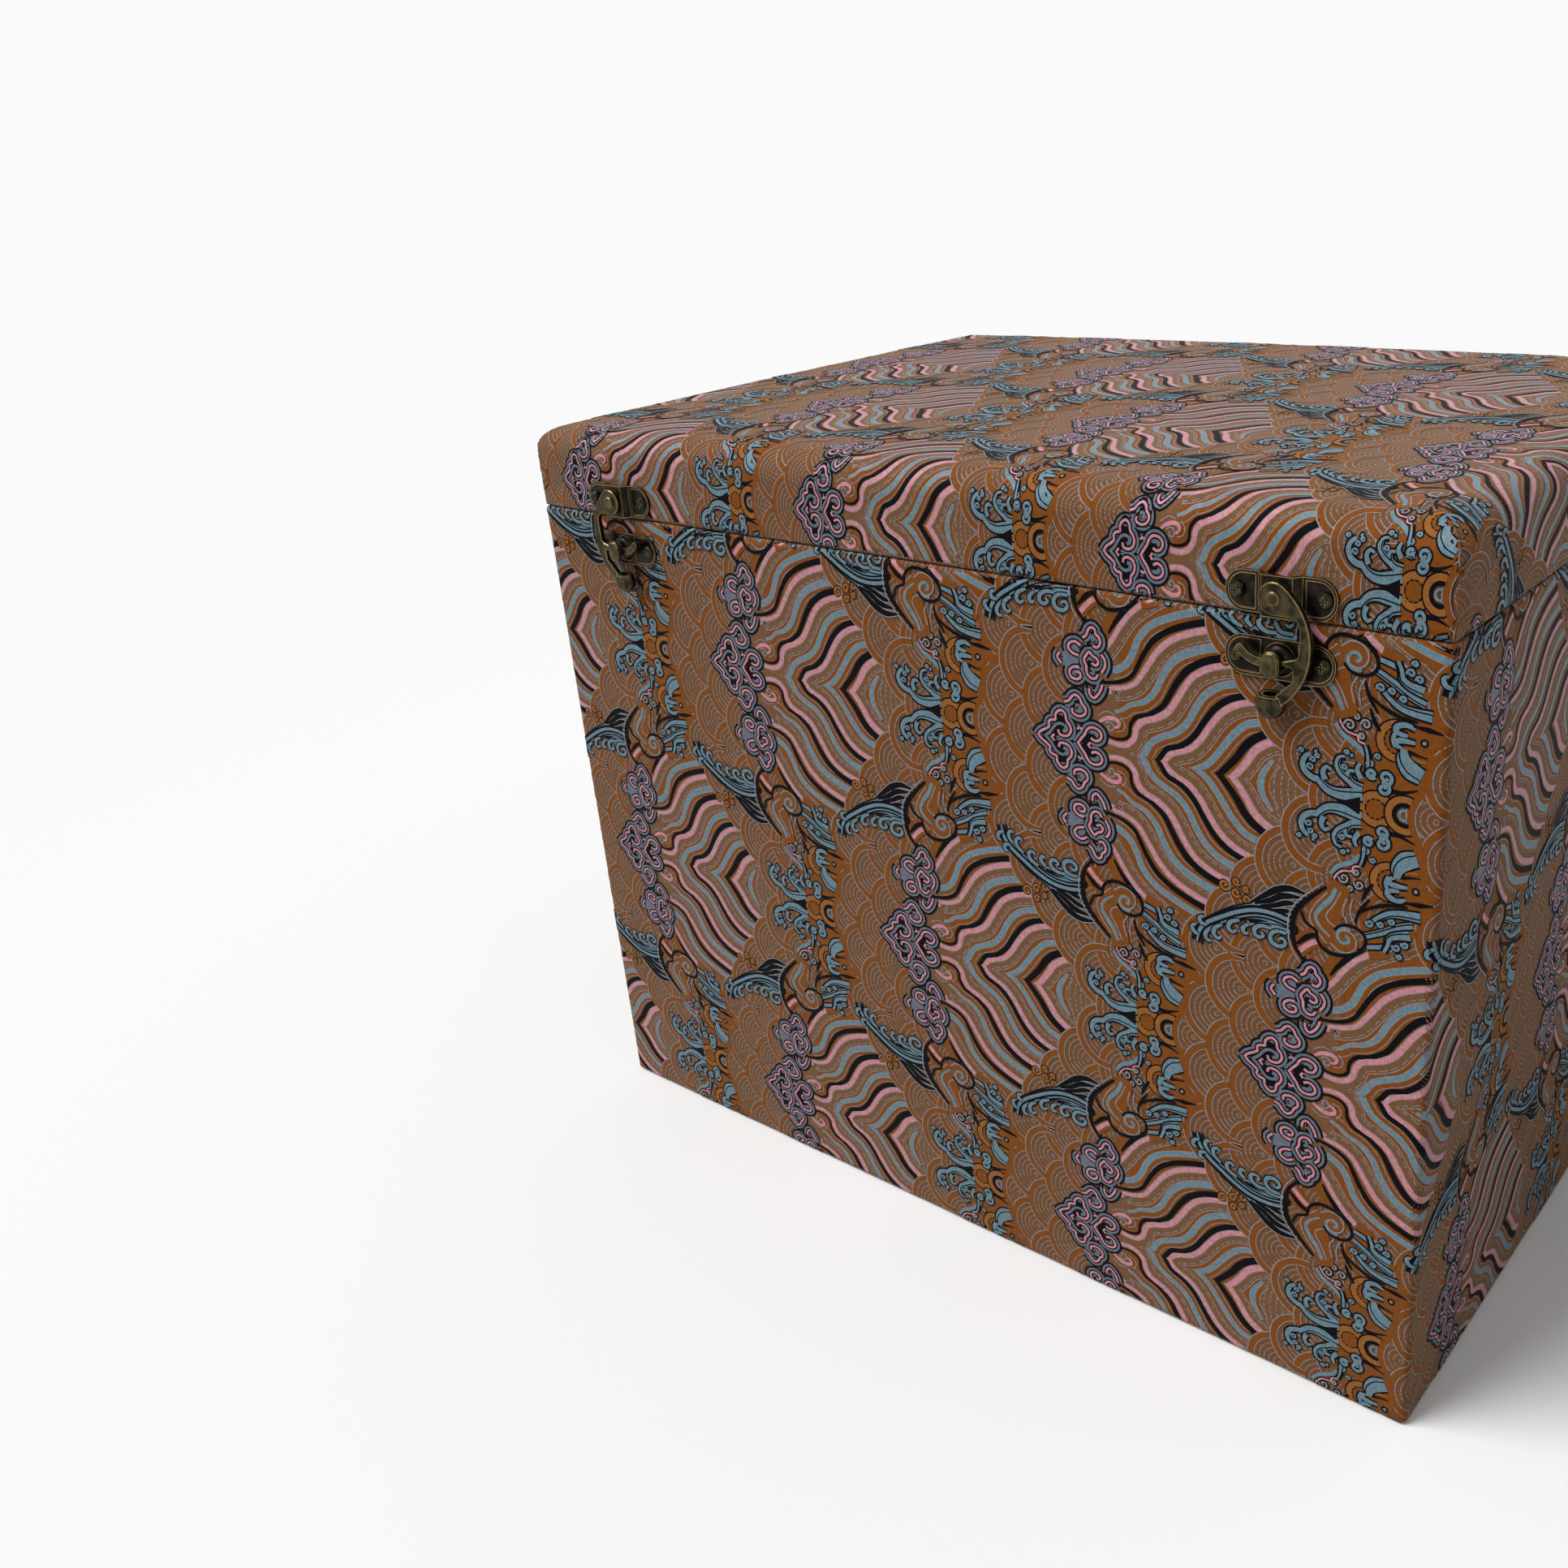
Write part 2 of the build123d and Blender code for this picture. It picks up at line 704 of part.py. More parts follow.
def build_latch(side):
    """One horn latch: upper plate, hook and rivet, strike plate and turning catch."""
    upper = latch_plane(side, latch_plate_height)
    lower = latch_plane(side, strike_plate_height)
    screw = pan_screw(latch_screw_length)
    return {
        side + "_latch_plate": upper * handed(latch_plate(), side),
        side + "_latch_screws": Compound(children=screws_on(upper, screw, plate_screw_spacing, 0, plate)),
        side + "_latch_rivet": upper * latch_rivet(),
        side + "_hook": upper * handed(hook_solid(), side),
        side + "_strike_plate": lower * handed(strike_plate(), side),
        side + "_strike_screws": Compound(children=screws_on(lower, screw, plate_screw_spacing, 0, plate)),
        side + "_catch_washer": lower * catch_washer_ring(),
        side + "_catch_post": lower * catch_post(),
        side + "_catch_lever": lower * handed(catch_lever(), side),
    }


def main():
    """Builds every piece and writes each one as its own STEP file."""
    os.makedirs("parts", exist_ok=True)
    pieces = build_body()
    pieces.update(build_lid())
    for side in ("left", "right"):
        pieces.update(build_hinge(side))
        pieces.update(build_latch(side))
    for name, solid in pieces.items():
        export_step(solid, "parts/" + name + ".step")
    print(len(pieces), "pieces written")


main()
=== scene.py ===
# %% [markdown]
# # A brocade covered box with two horn latches
# The object is a wooden keepsake box covered in woven brocade, with a padded lid and antique bronze
# latches. The CAD frame gives every hard piece its place. This script adds the cloth with its woven
# pattern, the satin inside, the finishes, the camera and the light.

import math

import bpy
import numpy as np
from mathutils import Matrix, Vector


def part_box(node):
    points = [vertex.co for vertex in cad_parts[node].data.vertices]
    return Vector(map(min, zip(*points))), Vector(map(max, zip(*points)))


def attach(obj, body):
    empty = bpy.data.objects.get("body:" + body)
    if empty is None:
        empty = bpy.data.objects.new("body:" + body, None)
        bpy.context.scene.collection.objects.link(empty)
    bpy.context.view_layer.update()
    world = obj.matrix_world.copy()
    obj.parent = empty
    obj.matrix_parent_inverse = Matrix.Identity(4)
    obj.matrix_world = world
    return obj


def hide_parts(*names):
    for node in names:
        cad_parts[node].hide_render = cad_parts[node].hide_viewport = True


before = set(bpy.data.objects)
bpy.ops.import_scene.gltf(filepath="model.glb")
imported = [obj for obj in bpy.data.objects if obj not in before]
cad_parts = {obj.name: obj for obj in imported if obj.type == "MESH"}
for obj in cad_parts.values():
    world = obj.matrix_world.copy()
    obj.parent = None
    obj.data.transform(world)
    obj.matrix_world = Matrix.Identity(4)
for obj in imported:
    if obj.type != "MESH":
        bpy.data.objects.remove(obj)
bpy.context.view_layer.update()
MM = 0.001

# %% [markdown]
# ## Camera
# The photograph looks down on the box's front right corner. Its camera was found from the box's
# corners, so the place, the angles, the lens and the small lens shift are plain numbers here.

# %% Camera
photo_pixels = 1932
camera_place = (259.4, -404.8, 316.9)
camera_azimuth, camera_elevation, camera_roll = 39.19, 22.56, -3.57
focal_pixels = 1881.0
axis_pixel = (1200.0, 939.0)


def camera_rotation(azimuth, elevation, roll):
    """Columns of the camera's matrix. Back points from the target to the camera, right lies level,
    up is back crossed with right, and the roll turns right and up about back."""
    a, e, r = np.radians([azimuth, elevation, roll])
    back = np.array([math.sin(a) * math.cos(e), -math.cos(a) * math.cos(e), math.sin(e)])
    right = np.cross((0, 0, 1), back)
    right = right / np.linalg.norm(right)
    up = np.cross(back, right)
    turned_right = math.cos(r) * right + math.sin(r) * up
    turned_up = math.cos(r) * up - math.sin(r) * right
    return np.column_stack([turned_right, turned_up, back])


lens = bpy.data.cameras.new("camera")
lens.sensor_width = 36
lens.lens = focal_pixels / photo_pixels * lens.sensor_width
lens.shift_x = (photo_pixels / 2 - axis_pixel[0]) / photo_pixels
lens.shift_y = (axis_pixel[1] - photo_pixels / 2) / photo_pixels
lens.clip_start, lens.clip_end = 0.01, 20
camera = bpy.data.objects.new("camera", lens)
bpy.context.scene.collection.objects.link(camera)
pose = np.eye(4)
pose[:3, :3] = camera_rotation(camera_azimuth, camera_elevation, camera_roll)
pose[:3, 3] = np.array(camera_place) * MM
camera.matrix_world = Matrix(pose.tolist())
bpy.context.scene.camera = camera
print("lens", round(lens.lens, 2), "shift", round(lens.shift_x, 3), round(lens.shift_y, 3))

# %% [markdown]
# ## Measures of the box
# The cloth lies where the CAD cloth lies, so its main sizes come from the frame.

# %% Measures
body_low, body_high = (np.array(c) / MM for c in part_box("body_brocade"))
lid_low, lid_high = (np.array(c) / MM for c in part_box("lid_brocade"))
half_width, half_depth = body_high[0], body_high[1]
edge_radius = 9.0
corner_radius = 1.6
crown_radius = 12000.0
fold_radius = 0.8
flap_height = 12.0
rim_width = 7.6
under_width = 15.8
lid_rim_width, lid_flap_height = 7.8, 9.0
# Threads lie flatter on the folds where case and lid nearly meet, by this share
fold_lift = 0.4
# How far a point may pass the end of a wall before it counts as outside
hair = 1e-4
print("body", body_low.round(1), body_high.round(1), "lid", lid_low.round(1), lid_high.round(1))

# %% [markdown]
# ## How cloth lies on the box
# The brocade is wrapped round the walls like paper round a parcel. Any point of the cloth has two
# coordinates in millimetres, u along the cloth and v up it, and one function turns these into a place
# on the box. The woven pattern can then be drawn flat, and it bends round the corners by itself.


# %% A profile that the cloth follows
def rounded_profile(corners, radii, steps):
    """Path of inset and height through corner points, each right-angled turn replaced by an arc.
    The arc's centre is the corner plus radius times both directions away from it. Returns arc length,
    inset, height, and the normal's outward and upward parts."""
    points = [np.array(corners[0], float)]
    for before, here, after, radius in zip(corners, corners[1:], corners[2:], radii):
        before, here, after = (np.array(p, float) for p in (before, here, after))
        into = (before - here) / np.linalg.norm(before - here)
        out = (after - here) / np.linalg.norm(after - here)
        turn = np.linspace(0, math.pi / 2, steps)[:, None]
        points.extend(here + radius * (into + out) - radius * (np.cos(turn) * out + np.sin(turn) * into))
    points.append(np.array(corners[-1], float))
    points = np.array(points)
    gaps = np.linalg.norm(np.diff(points, axis=0), axis=1)
    keep = np.concatenate([[True], gaps > 1e-6])
    points = points[keep]
    length = np.concatenate([[0], np.cumsum(np.linalg.norm(np.diff(points, axis=0), axis=1))])
    along = np.gradient(points, length, axis=0)
    along = along / np.linalg.norm(along, axis=1)[:, None]
    return length, points[:, 0], points[:, 1], along[:, 1], along[:, 0]


body_path = rounded_profile(
    [
        (under_width, body_low[2]),
        (0, body_low[2]),
        (0, body_high[2]),
        (rim_width, body_high[2]),
        (rim_width, body_high[2] - flap_height),
    ],
    [fold_radius] * 3,
    5,
)
lid_path = rounded_profile(
    [
        (lid_rim_width, lid_low[2] + lid_flap_height),
        (lid_rim_width, lid_low[2]),
        (0, lid_low[2]),
        (0, lid_high[2]),
        (edge_radius, lid_high[2]),
    ],
    [fold_radius, fold_radius, edge_radius],
    10,
)
body_zero = body_path[0][np.argmax(body_path[1] < 1e-6)] - (body_low[2] + fold_radius)
lid_end = lid_path[0][-1]
print("profile lengths", body_path[0][-1].round(1), lid_end.round(1), "mm")


# %% Along a profile and along a wall
def look_up(path, length):
    """Inset, height and both normal parts at lengths along a profile, by straight interpolation."""
    return [np.interp(length, path[0], column) for column in path[1:]]


def along_wall(h, half, inset):
    """Where a point h along a wall lies: straight, then round the upright corner's arc. Gives the
    place along the wall, how far the arc draws it in, the arc's angle and the most that h may be."""
    radius = np.maximum(corner_radius - inset, 1e-6)
    straight = half - inset - radius
    angle = np.clip((np.abs(h) - straight) / radius, 0, math.pi / 4)
    place = np.minimum(np.abs(h), straight) + radius * np.sin(angle)
    drawn = radius * (1 - np.cos(angle))
    return np.sign(h) * place, drawn, np.sign(h) * angle, straight + radius * math.pi / 4


# %% [markdown]
# ### Cloth on the case
# The case's cloth is one strip glued round four walls. Its top edge is folded into the box and its
# lower edge under the base. Four flat planes would do for the shape, but the pattern would jump at the
# corners. Here u runs on from wall to wall, and each wall only adds its own direction.

# %% Places on the case
wall_half = along_wall(0.0, half_width, 0.0)[3]
side_half = along_wall(0.0, half_depth, 0.0)[3]
# Left, front, right and back: the wall's middle on the cloth, half lengths, along and outward
wall_middles = np.array([-wall_half - side_half, 0, wall_half + side_half, 2 * (wall_half + side_half)])
wall_halves = np.array([half_depth, half_width, half_depth, half_width])
wall_outs = np.array([half_width, half_depth, half_width, half_depth])
wall_alongs = np.array([(0, -1), (1, 0), (0, 1), (-1, 0)], float)
wall_normals = np.array([(-1, 0), (0, -1), (1, 0), (0, 1)], float)


def body_point(u, v, lift):
    """Place and validity of cloth points on the case. The wall is picked by u, the profile by v."""
    inset, height, outward, upward = look_up(body_path, v + body_zero)
    wall = np.searchsorted([-wall_half, wall_half, wall_half + 2 * side_half], u)
    place, drawn, angle, most = along_wall(u - wall_middles[wall], wall_halves[wall], inset)
    out = wall_outs[wall] - inset - drawn
    flat = wall_normals[wall] * out[:, None] + wall_alongs[wall] * place[:, None]
    facing = wall_normals[wall] * np.cos(angle)[:, None] + wall_alongs[wall] * np.sin(angle)[:, None]
    points = np.column_stack([flat, height])
    normals = np.column_stack([facing * outward[:, None], upward])
    lift = lift * np.where(height > body_high[2] - fold_radius, fold_lift, 1.0)
    inside = np.abs(u - wall_middles[wall]) <= most + hair
    inside &= (v + body_zero >= 0) & (v + body_zero <= body_path[0][-1])
    return points + normals * lift[:, None], inside


front_middle = body_point(np.zeros(1), np.full(1, body_high[2] / 2), np.zeros(1))[0][0]
print("middle of the front wall", front_middle.round(1))

# %% [markdown]
# ### Cloth on the lid
# The lid's cloth is one sheet over the padded top, folded down all four sides and cut at the corners.
# Its coordinates are those of the top, and where they pass the top's edge, the sheet follows the
# profile down. Padding never lies quite flat, so the top also has a low crown and slow waves.

# %% Places on the lid
flat_x, flat_y = half_width - edge_radius, half_depth - edge_radius
unevenness = 0.3


def lid_point(u, v, lift):
    """Place and validity of cloth points on the lid. The top falls off by its crown, the square of the
    distance from the middle over twice the crown radius, and each side strip follows the profile. The
    padding under the top is slightly uneven, as two slow sine waves that fade towards its edges."""
    over_x, over_y = np.abs(u) - flat_x, np.abs(v) - flat_y
    x_in, x_high, x_out, x_up = look_up(lid_path, lid_end - np.maximum(over_x, 0))
    y_in, y_high, y_out, y_up = look_up(lid_path, lid_end - np.maximum(over_y, 0))
    x_place, x_drawn, x_angle, x_most = along_wall(u, half_width, y_in)
    y_place, y_drawn, y_angle, y_most = along_wall(v, half_depth, x_in)
    front = (over_y > 0) & (np.abs(u) <= x_most + hair)
    side = (over_x > 0) & (np.abs(v) <= y_most + hair) & ~front
    top = (over_x <= 1e-9) & (over_y <= 1e-9)
    x = np.where(front, x_place, np.where(side, np.sign(u) * (half_width - x_in - y_drawn), u))
    y = np.where(front, np.sign(v) * (half_depth - y_in - x_drawn), np.where(side, y_place, v))
    high = np.where(front, y_high, np.where(side, x_high, lid_high[2]))
    share = np.clip((high - lid_high[2] + edge_radius) / edge_radius, 0, 1)
    high = high - share * (x**2 + y**2) / (2 * crown_radius)
    fade = np.clip(1 - (u / flat_x) ** 2, 0, 1) * np.clip(1 - (v / flat_y) ** 2, 0, 1)
    waves = np.sin(u / 31 + 0.6) * np.sin(v / 26) + np.sin((u + v) / 47 + 1)
    high = high + unevenness * fade * waves
    side_x, front_y = np.sign(u) * x_out * np.cos(y_angle), np.sign(v) * y_out * np.cos(x_angle)
    n_x = np.where(front, y_out * np.sin(x_angle), np.where(side, side_x, 0))
    n_y = np.where(front, front_y, np.where(side, x_out * np.sin(y_angle), 0))
    n_z = np.where(front, y_up, np.where(side, x_up, 1))
    lift = lift * np.where(high < lid_low[2] + fold_radius, fold_lift, 1.0)
    points = np.column_stack([x, y, high]) + np.column_stack([n_x, n_y, n_z]) * lift[:, None]
    within = (over_x <= lid_end) & (over_y <= lid_end)
    return points, (front | side | top) & within


print("middle of the lid", lid_point(np.zeros(1), np.zeros(1), np.zeros(1))[0][0].round(1))

# %% [markdown]
# ## Putting arrays into meshes
# Every new piece below is a grid of points from a formula. One helper writes points, faces and the
# cloth coordinates into a mesh, so that the formulas stay in view.


# %% Mesh helper
def new_piece(name, points, faces, material, cloth=None, body=None):
    """A mesh object at the origin from points in millimetres. Four corners a face, and cloth
    coordinates in millimetres, when given, become the UV map called cloth, in metres."""
    mesh = bpy.data.meshes.new(name)
    mesh.vertices.add(len(points))
    mesh.vertices.foreach_set("co", (points * MM).astype(np.float32).ravel())
    sides = faces.shape[1]
    mesh.loops.add(faces.size)
    mesh.loops.foreach_set("vertex_index", faces.astype(np.int32).ravel())
    mesh.polygons.add(len(faces))
    mesh.polygons.foreach_set("loop_start", np.arange(0, faces.size, sides, dtype=np.int32))
    mesh.polygons.foreach_set("loop_total", np.full(len(faces), sides, np.int32))
    mesh.polygons.foreach_set("use_smooth", np.ones(len(faces), bool))
    mesh.update(calc_edges=True)
    if cloth is not None:
        layer = mesh.uv_layers.new(name="cloth")
        layer.data.foreach_set("uv", (cloth[faces.ravel()] * MM).astype(np.float32).ravel())
    mesh.materials.append(material)
    piece = bpy.data.objects.new(name, mesh)
    bpy.context.scene.collection.objects.link(piece)
    if body:
        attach(piece, body)
    return piece


def grid_faces(rows, columns):
    """Faces of a grid of points, row after row, counter-clockwise where columns run along u and rows
    up v."""
    i, j = np.meshgrid(np.arange(rows - 1), np.arange(columns - 1), indexing="ij")
    first = (i * columns + j).ravel()
    return np.column_stack([first, first + 1, first + columns + 1, first + columns])


print("a grid of 3 by 4 points has", len(grid_faces(3, 4)), "faces")

# %% [markdown]
# ## Colours and finishes
# A colour is written as the eye sees it in the photograph, from 0 to 255, and turned into linear light
# once, because shaders reckon in light. Every finish is one Principled shader, and short helpers fill
# in its inputs by their names.


# %% Colours and materials
def seen(red, green, blue):
    """Linear light of a colour written from 0 to 255: the sRGB curve undone."""
    c = np.array([red, green, blue]) / 255
    linear = np.where(c <= 0.04045, c / 12.92, ((c + 0.055) / 1.055) ** 2.4)
    return (*linear.tolist(), 1.0)


def new_material(name, slot):
    """A material with one Principled shader, and the record's slot that its pieces belong to."""
    material = bpy.data.materials.new(name)
    material.use_nodes = True
    material["slot"] = slot
    shader = material.node_tree.nodes["Principled BSDF"]
    return material, material.node_tree, shader


def link(tree, value, socket):
    """Joins an output to an input, or writes a plain number or colour there."""
    if isinstance(value, (int, float, tuple)):
        socket.default_value = value
    else:
        tree.links.new(getattr(value, "socket", value), socket)


def fill(tree, node, values):
    """Joins or writes each value to the node's input of that name."""
    for name, value in values.items():
        link(tree, value, node.inputs[name])


print("mid grey is", round(seen(128, 128, 128)[0], 3), "in linear light")

# %% [markdown]
# ### Numbers from nodes
# A pattern in a shader is arithmetic on coordinates. Joining Math nodes one by one hides the formula,
# so a small class lets the usual signs make them: a + b adds one Add node and joins both to it. A
# pattern then reads here as it would on paper.


# %% Numbers from nodes
def calc(tree, operation, *values, clamp=False):
    """One Math node on numbers or outputs."""
    node = tree.nodes.new("ShaderNodeMath")
    node.operation = operation
    node.use_clamp = clamp
    for value, socket in zip(values, node.inputs):
        link(tree, value, socket)
    return Number(tree, node.outputs[0])


class Number:
    """A node's output to calculate with. Each sign, such as + or <, adds one Math node, and % is the
    remainder that is never negative."""

    def __init__(self, tree, socket):
        self.tree, self.socket = tree, socket

    def __add__(self, other):
        return calc(self.tree, "ADD", self, other)

    def __sub__(self, other):
        return calc(self.tree, "SUBTRACT", self, other)

    def __rsub__(self, other):
        return calc(self.tree, "SUBTRACT", other, self)

    def __mul__(self, other):
        return calc(self.tree, "MULTIPLY", self, other)

    def __truediv__(self, other):
        return calc(self.tree, "DIVIDE", self, other)

    def __mod__(self, other):
        return calc(self.tree, "FLOORED_MODULO", self, other)

    def __gt__(self, other):
        return calc(self.tree, "GREATER_THAN", self, other)

    def __lt__(self, other):
        return calc(self.tree, "LESS_THAN", self, other)


def blend_colours(tree, share, first, second):
    """First colour where the share is 0 and second where it is 1."""
    node = tree.nodes.new("ShaderNodeMix")
    node.data_type = "RGBA"
    fill(tree, node, {"Factor": share, 6: first, 7: second})
    return node.outputs[2]


def soft_step(tree, value, edge, width):
    """0 below the edge and 1 above it, with a ramp of this width between."""
    node = tree.nodes.new("ShaderNodeMapRange")
    node.interpolation_type = "SMOOTHSTEP"
    fill(tree, node, {"Value": value, "From Min": edge - width / 2, "From Max": edge + width / 2})
    return Number(tree, node.outputs["Result"])


# %% [markdown]
# ### Noise, bump and coordinates
# Threads, plating and paper are never quite even. Noise on the piece's own coordinates gives this, and
# a bump turns it into fine relief without more faces. Cloth reads the UV map called cloth instead, so
# that its threads run round the corners with it.


# %% Noise, bump and coordinates
def noise_at(tree, place, scale, detail):
    """Noise on coordinates in metres, with about this many waves in a metre."""
    node = tree.nodes.new("ShaderNodeTexNoise")
    fill(tree, node, {"Scale": scale, "Detail": detail, "Vector": place})
    return Number(tree, node.outputs["Fac"])


def object_place(tree):
    """Coordinates on the object itself, in metres."""
    return tree.nodes.new("ShaderNodeTexCoord").outputs["Object"]


def add_bump(tree, shader, height, strength, distance):
    """Tilts the shader's normal as if a height of 1 stood this many millimetres out."""
    node = tree.nodes.new("ShaderNodeBump")
    fill(tree, node, {"Strength": strength, "Distance": distance * MM, "Height": height})
    link(tree, node.outputs["Normal"], shader.inputs["Normal"])


def cloth_place(tree):
    """The cloth's own u and v in metres."""
    layer = tree.nodes.new("ShaderNodeUVMap")
    layer.uv_map = "cloth"
    return layer.outputs["UV"]


def cloth_millimetres(tree):
    """The cloth's own u and v in millimetres."""
    split = tree.nodes.new("ShaderNodeSeparateXYZ")
    link(tree, cloth_place(tree), split.inputs[0])
    return [Number(tree, split.outputs[k]) * 1000.0 for k in (0, 1)]


# %% [markdown]
# ## The woven pattern
# The brocade shows the traditional sea waves and cliffs: ruyi clouds, striped water fanning out of
# them, rows of fish-scale waves, and crests of spray. One repeat is drawn once as smooth strokes, in
# millimetres from the middle of a cloud cluster, and only its upper half, because it is a mirror image
# about its own axis. Real brocade carries these lines as threads that float over the ground, so here
# they are narrow ribbons a few hundredths of a millimetre above it. Their edges stay crisp however
# near one looks, which a painted image would not.

# %% Measures of the repeat
repeat_length = 120.6
repeat_rise = 75.7
scale_radius = 10.1
scale_pitch = 6.7
scale_rise = repeat_rise / 4
scale_left_zero, scale_right_zero = 65.5, 99.0
# How far each layer of threads stands over the ground, and the small steps inside a layer that keep
# crossing ribbons apart
layer_step = 0.012
layer_floor = 0.045
fine_step = 0.0018
# A spiral rises along its length by this much, and clears its own turns
spiral_rise = 0.008
spiral_turn = 4.5
# Ribbons this close are kept apart like overlapping ones
near_miss = 0.2
print("repeat", repeat_length, "by", repeat_rise, "mm, scales", scale_pitch, "by", scale_rise, "mm apart")

# %% [markdown]
# ### Smooth paths
# A weaver's draft is drawn with a brush, in smooth lines that swell and taper. A few listed points
# give each line, and one smooth curve runs through all of them. Blender's own curve objects could
# do this too, but plain arrays can be mirrored, copied and wrapped round the box in one go.


# %% Smooth paths
def smooth_path(points, step):
    """Smooth curve through the points: on each stretch the cubic whose slope at a point is half the
    way between its neighbours. Then points about one step apart along it."""
    p = np.asarray(points, float)
    p = np.vstack([2 * p[0] - p[1], p, 2 * p[-1] - p[-2]])
    a, b, c, d = (p[i : len(p) - 3 + i, None, :] for i in range(4))
    t = np.linspace(0, 1, 12, endpoint=False)[None, :, None]
    square, cube = 2 * a - 5 * b + 4 * c - d, 3 * b - a - 3 * c + d
    curve = 0.5 * (2 * b + (c - a) * t + square * t**2 + cube * t**3)
    curve = np.vstack([curve.reshape(-1, 2), p[-2]])
    length = np.concatenate([[0], np.cumsum(np.linalg.norm(np.diff(curve, axis=0), axis=1))])
    at = np.linspace(0, length[-1], max(3, int(round(length[-1] / step)) + 1))
    return np.column_stack([np.interp(at, length, curve[:, k]) for k in (0, 1)])


def path_normals(path):
    """Unit normals to the left of a path, from its slope turned a quarter turn."""
    slope = np.gradient(path, axis=0)
    slope = slope / np.linalg.norm(slope, axis=1)[:, None]
    return np.column_stack([-slope[:, 1], slope[:, 0]])


def curl(x, y, start_radius, end_radius, start_degrees, turn_degrees):
    """A spiral: the radius goes evenly from the first to the second while the angle turns."""
    share = np.linspace(0, 1, 9)
    angle = np.radians(start_degrees + turn_degrees * share)
    radius = start_radius + (end_radius - start_radius) * share
    return np.column_stack([x + radius * np.cos(angle), y + radius * np.sin(angle)])


print("a full ring of radius 5 has", len(smooth_path(curl(0, 0, 5, 5, 0, 360), 0.6)), "points")

# %% [markdown]
# ### Ribbons
# A line of the pattern is a floating thread, a little raised and as wide as the weaver made it. Each
# becomes a flat ribbon. Ribbons that cross must not lie in one plane, or they would flicker, so every
# layer has its height and each ribbon in it a slightly different one.

# %% Ribbons
strokes = []
laid = []


def free_step(layer, path, half):
    """The smallest fine step of a layer that no ribbon overlapping this one has taken. Two ribbons
    overlap where their paths come closer than the sum of their half widths."""
    taken = [
        step for level, other, other_half, step in laid
        if level == layer
        and np.linalg.norm(path[:, None] - other, axis=2).min() < half + other_half + near_miss
    ]
    free = min(set(range(len(laid) + 1)) - set(taken))
    laid.append((layer, path, half, free))
    return free


def stroke(thread, layer, width, points, step=0.6, aside=0.0, keep=None, dotted=False):
    """Adds one ribbon: the path moved aside by its normals, and widened to both sides by half the
    width, which may be a list spread along the path. Wide ribbons get more faces across, so that they
    follow the box's curves. What crosses the mirror axis is folded flat onto it, so both halves meet
    in a mitre. Keep tells which faces stay, and a dotted ribbon leaves out every third."""
    path = smooth_path(points, step)
    path = path - path_normals(path) * aside
    widths = np.interp(np.linspace(0, 1, len(path)), np.linspace(0, 1, np.size(width)), np.ravel(width))
    across = 3 if np.max(widths) > 3 else 2 if np.max(widths) > 0.9 else 1
    spread = np.linspace(0.5, -0.5, across + 1)
    offsets = path_normals(path)[:, None, :] * (widths[:, None] * spread)[:, :, None]
    grid = (path[:, None, :] + offsets).reshape(-1, 2)
    grid[:, 1] = np.maximum(grid[:, 1], 0)
    faces = grid_faces(len(path), across + 1)
    first, second = grid[faces[:, 2]] - grid[faces[:, 0]], grid[faces[:, 3]] - grid[faces[:, 1]]
    wanted = np.abs(first[:, 0] * second[:, 1] - first[:, 1] * second[:, 0]) > 1e-3
    if keep is not None:
        wanted &= keep(grid[faces].mean(axis=1))
    if dotted:
        wanted &= (np.arange(len(faces)) // across) % 3 < 2
    slope = np.unwrap(np.arctan2(*np.diff(path, axis=0).T[::-1]))
    rise = spiral_rise if np.abs(slope - slope[0]).max() > spiral_turn else 0
    lift = layer_floor + layer * layer_step + free_step(layer, path, np.max(widths) / 2) * fine_step
    lifts = np.repeat(lift + rise * np.linspace(0, 1, len(path)), across + 1)
    strokes.append((thread, layer, grid, faces[wanted], lifts))


# %% [markdown]
# ### Round scales at the edges
# The fish-scale waves cover everything else like roof tiles, each column over the one to its left. The
# ground's finish draws them. Only the scales next to other motifs are also laid as ribbons, a rust
# band between two grey lines, because their round edges cut the stripes and the rock off.

# %% Edge scales
left_edge = [(scale_left_zero + scale_radius - k * scale_pitch, k * scale_rise / 2) for k in range(5)]
first_right = scale_right_zero + scale_radius
right_edge = [
    (scale_right_zero, 0.0),
    (first_right - scale_pitch, scale_rise / 2),
    (first_right, scale_rise),
    (first_right - scale_pitch, 1.5 * scale_rise),
]


def outside(centres, middle, margin=0.4):
    """True for points that lie in none of these round scales, less a margin under their rims."""
    away = np.linalg.norm(middle[:, None, :] - np.array(centres)[None], axis=2).min(axis=1)
    return away > scale_radius - margin


def before_left_edge(middle):
    """True left of the scales that end the striped water."""
    x, y = np.array(left_edge)[::-1].T
    limit = np.interp(middle[:, 1], y[::-1], x[::-1]) - scale_radius + 4
    return outside(left_edge, middle) & (middle[:, 0] < limit)


def before_right_edge(middle):
    """True left of the scales that end the rock's ground."""
    return outside(right_edge, middle) & (middle[:, 0] < scale_right_zero)


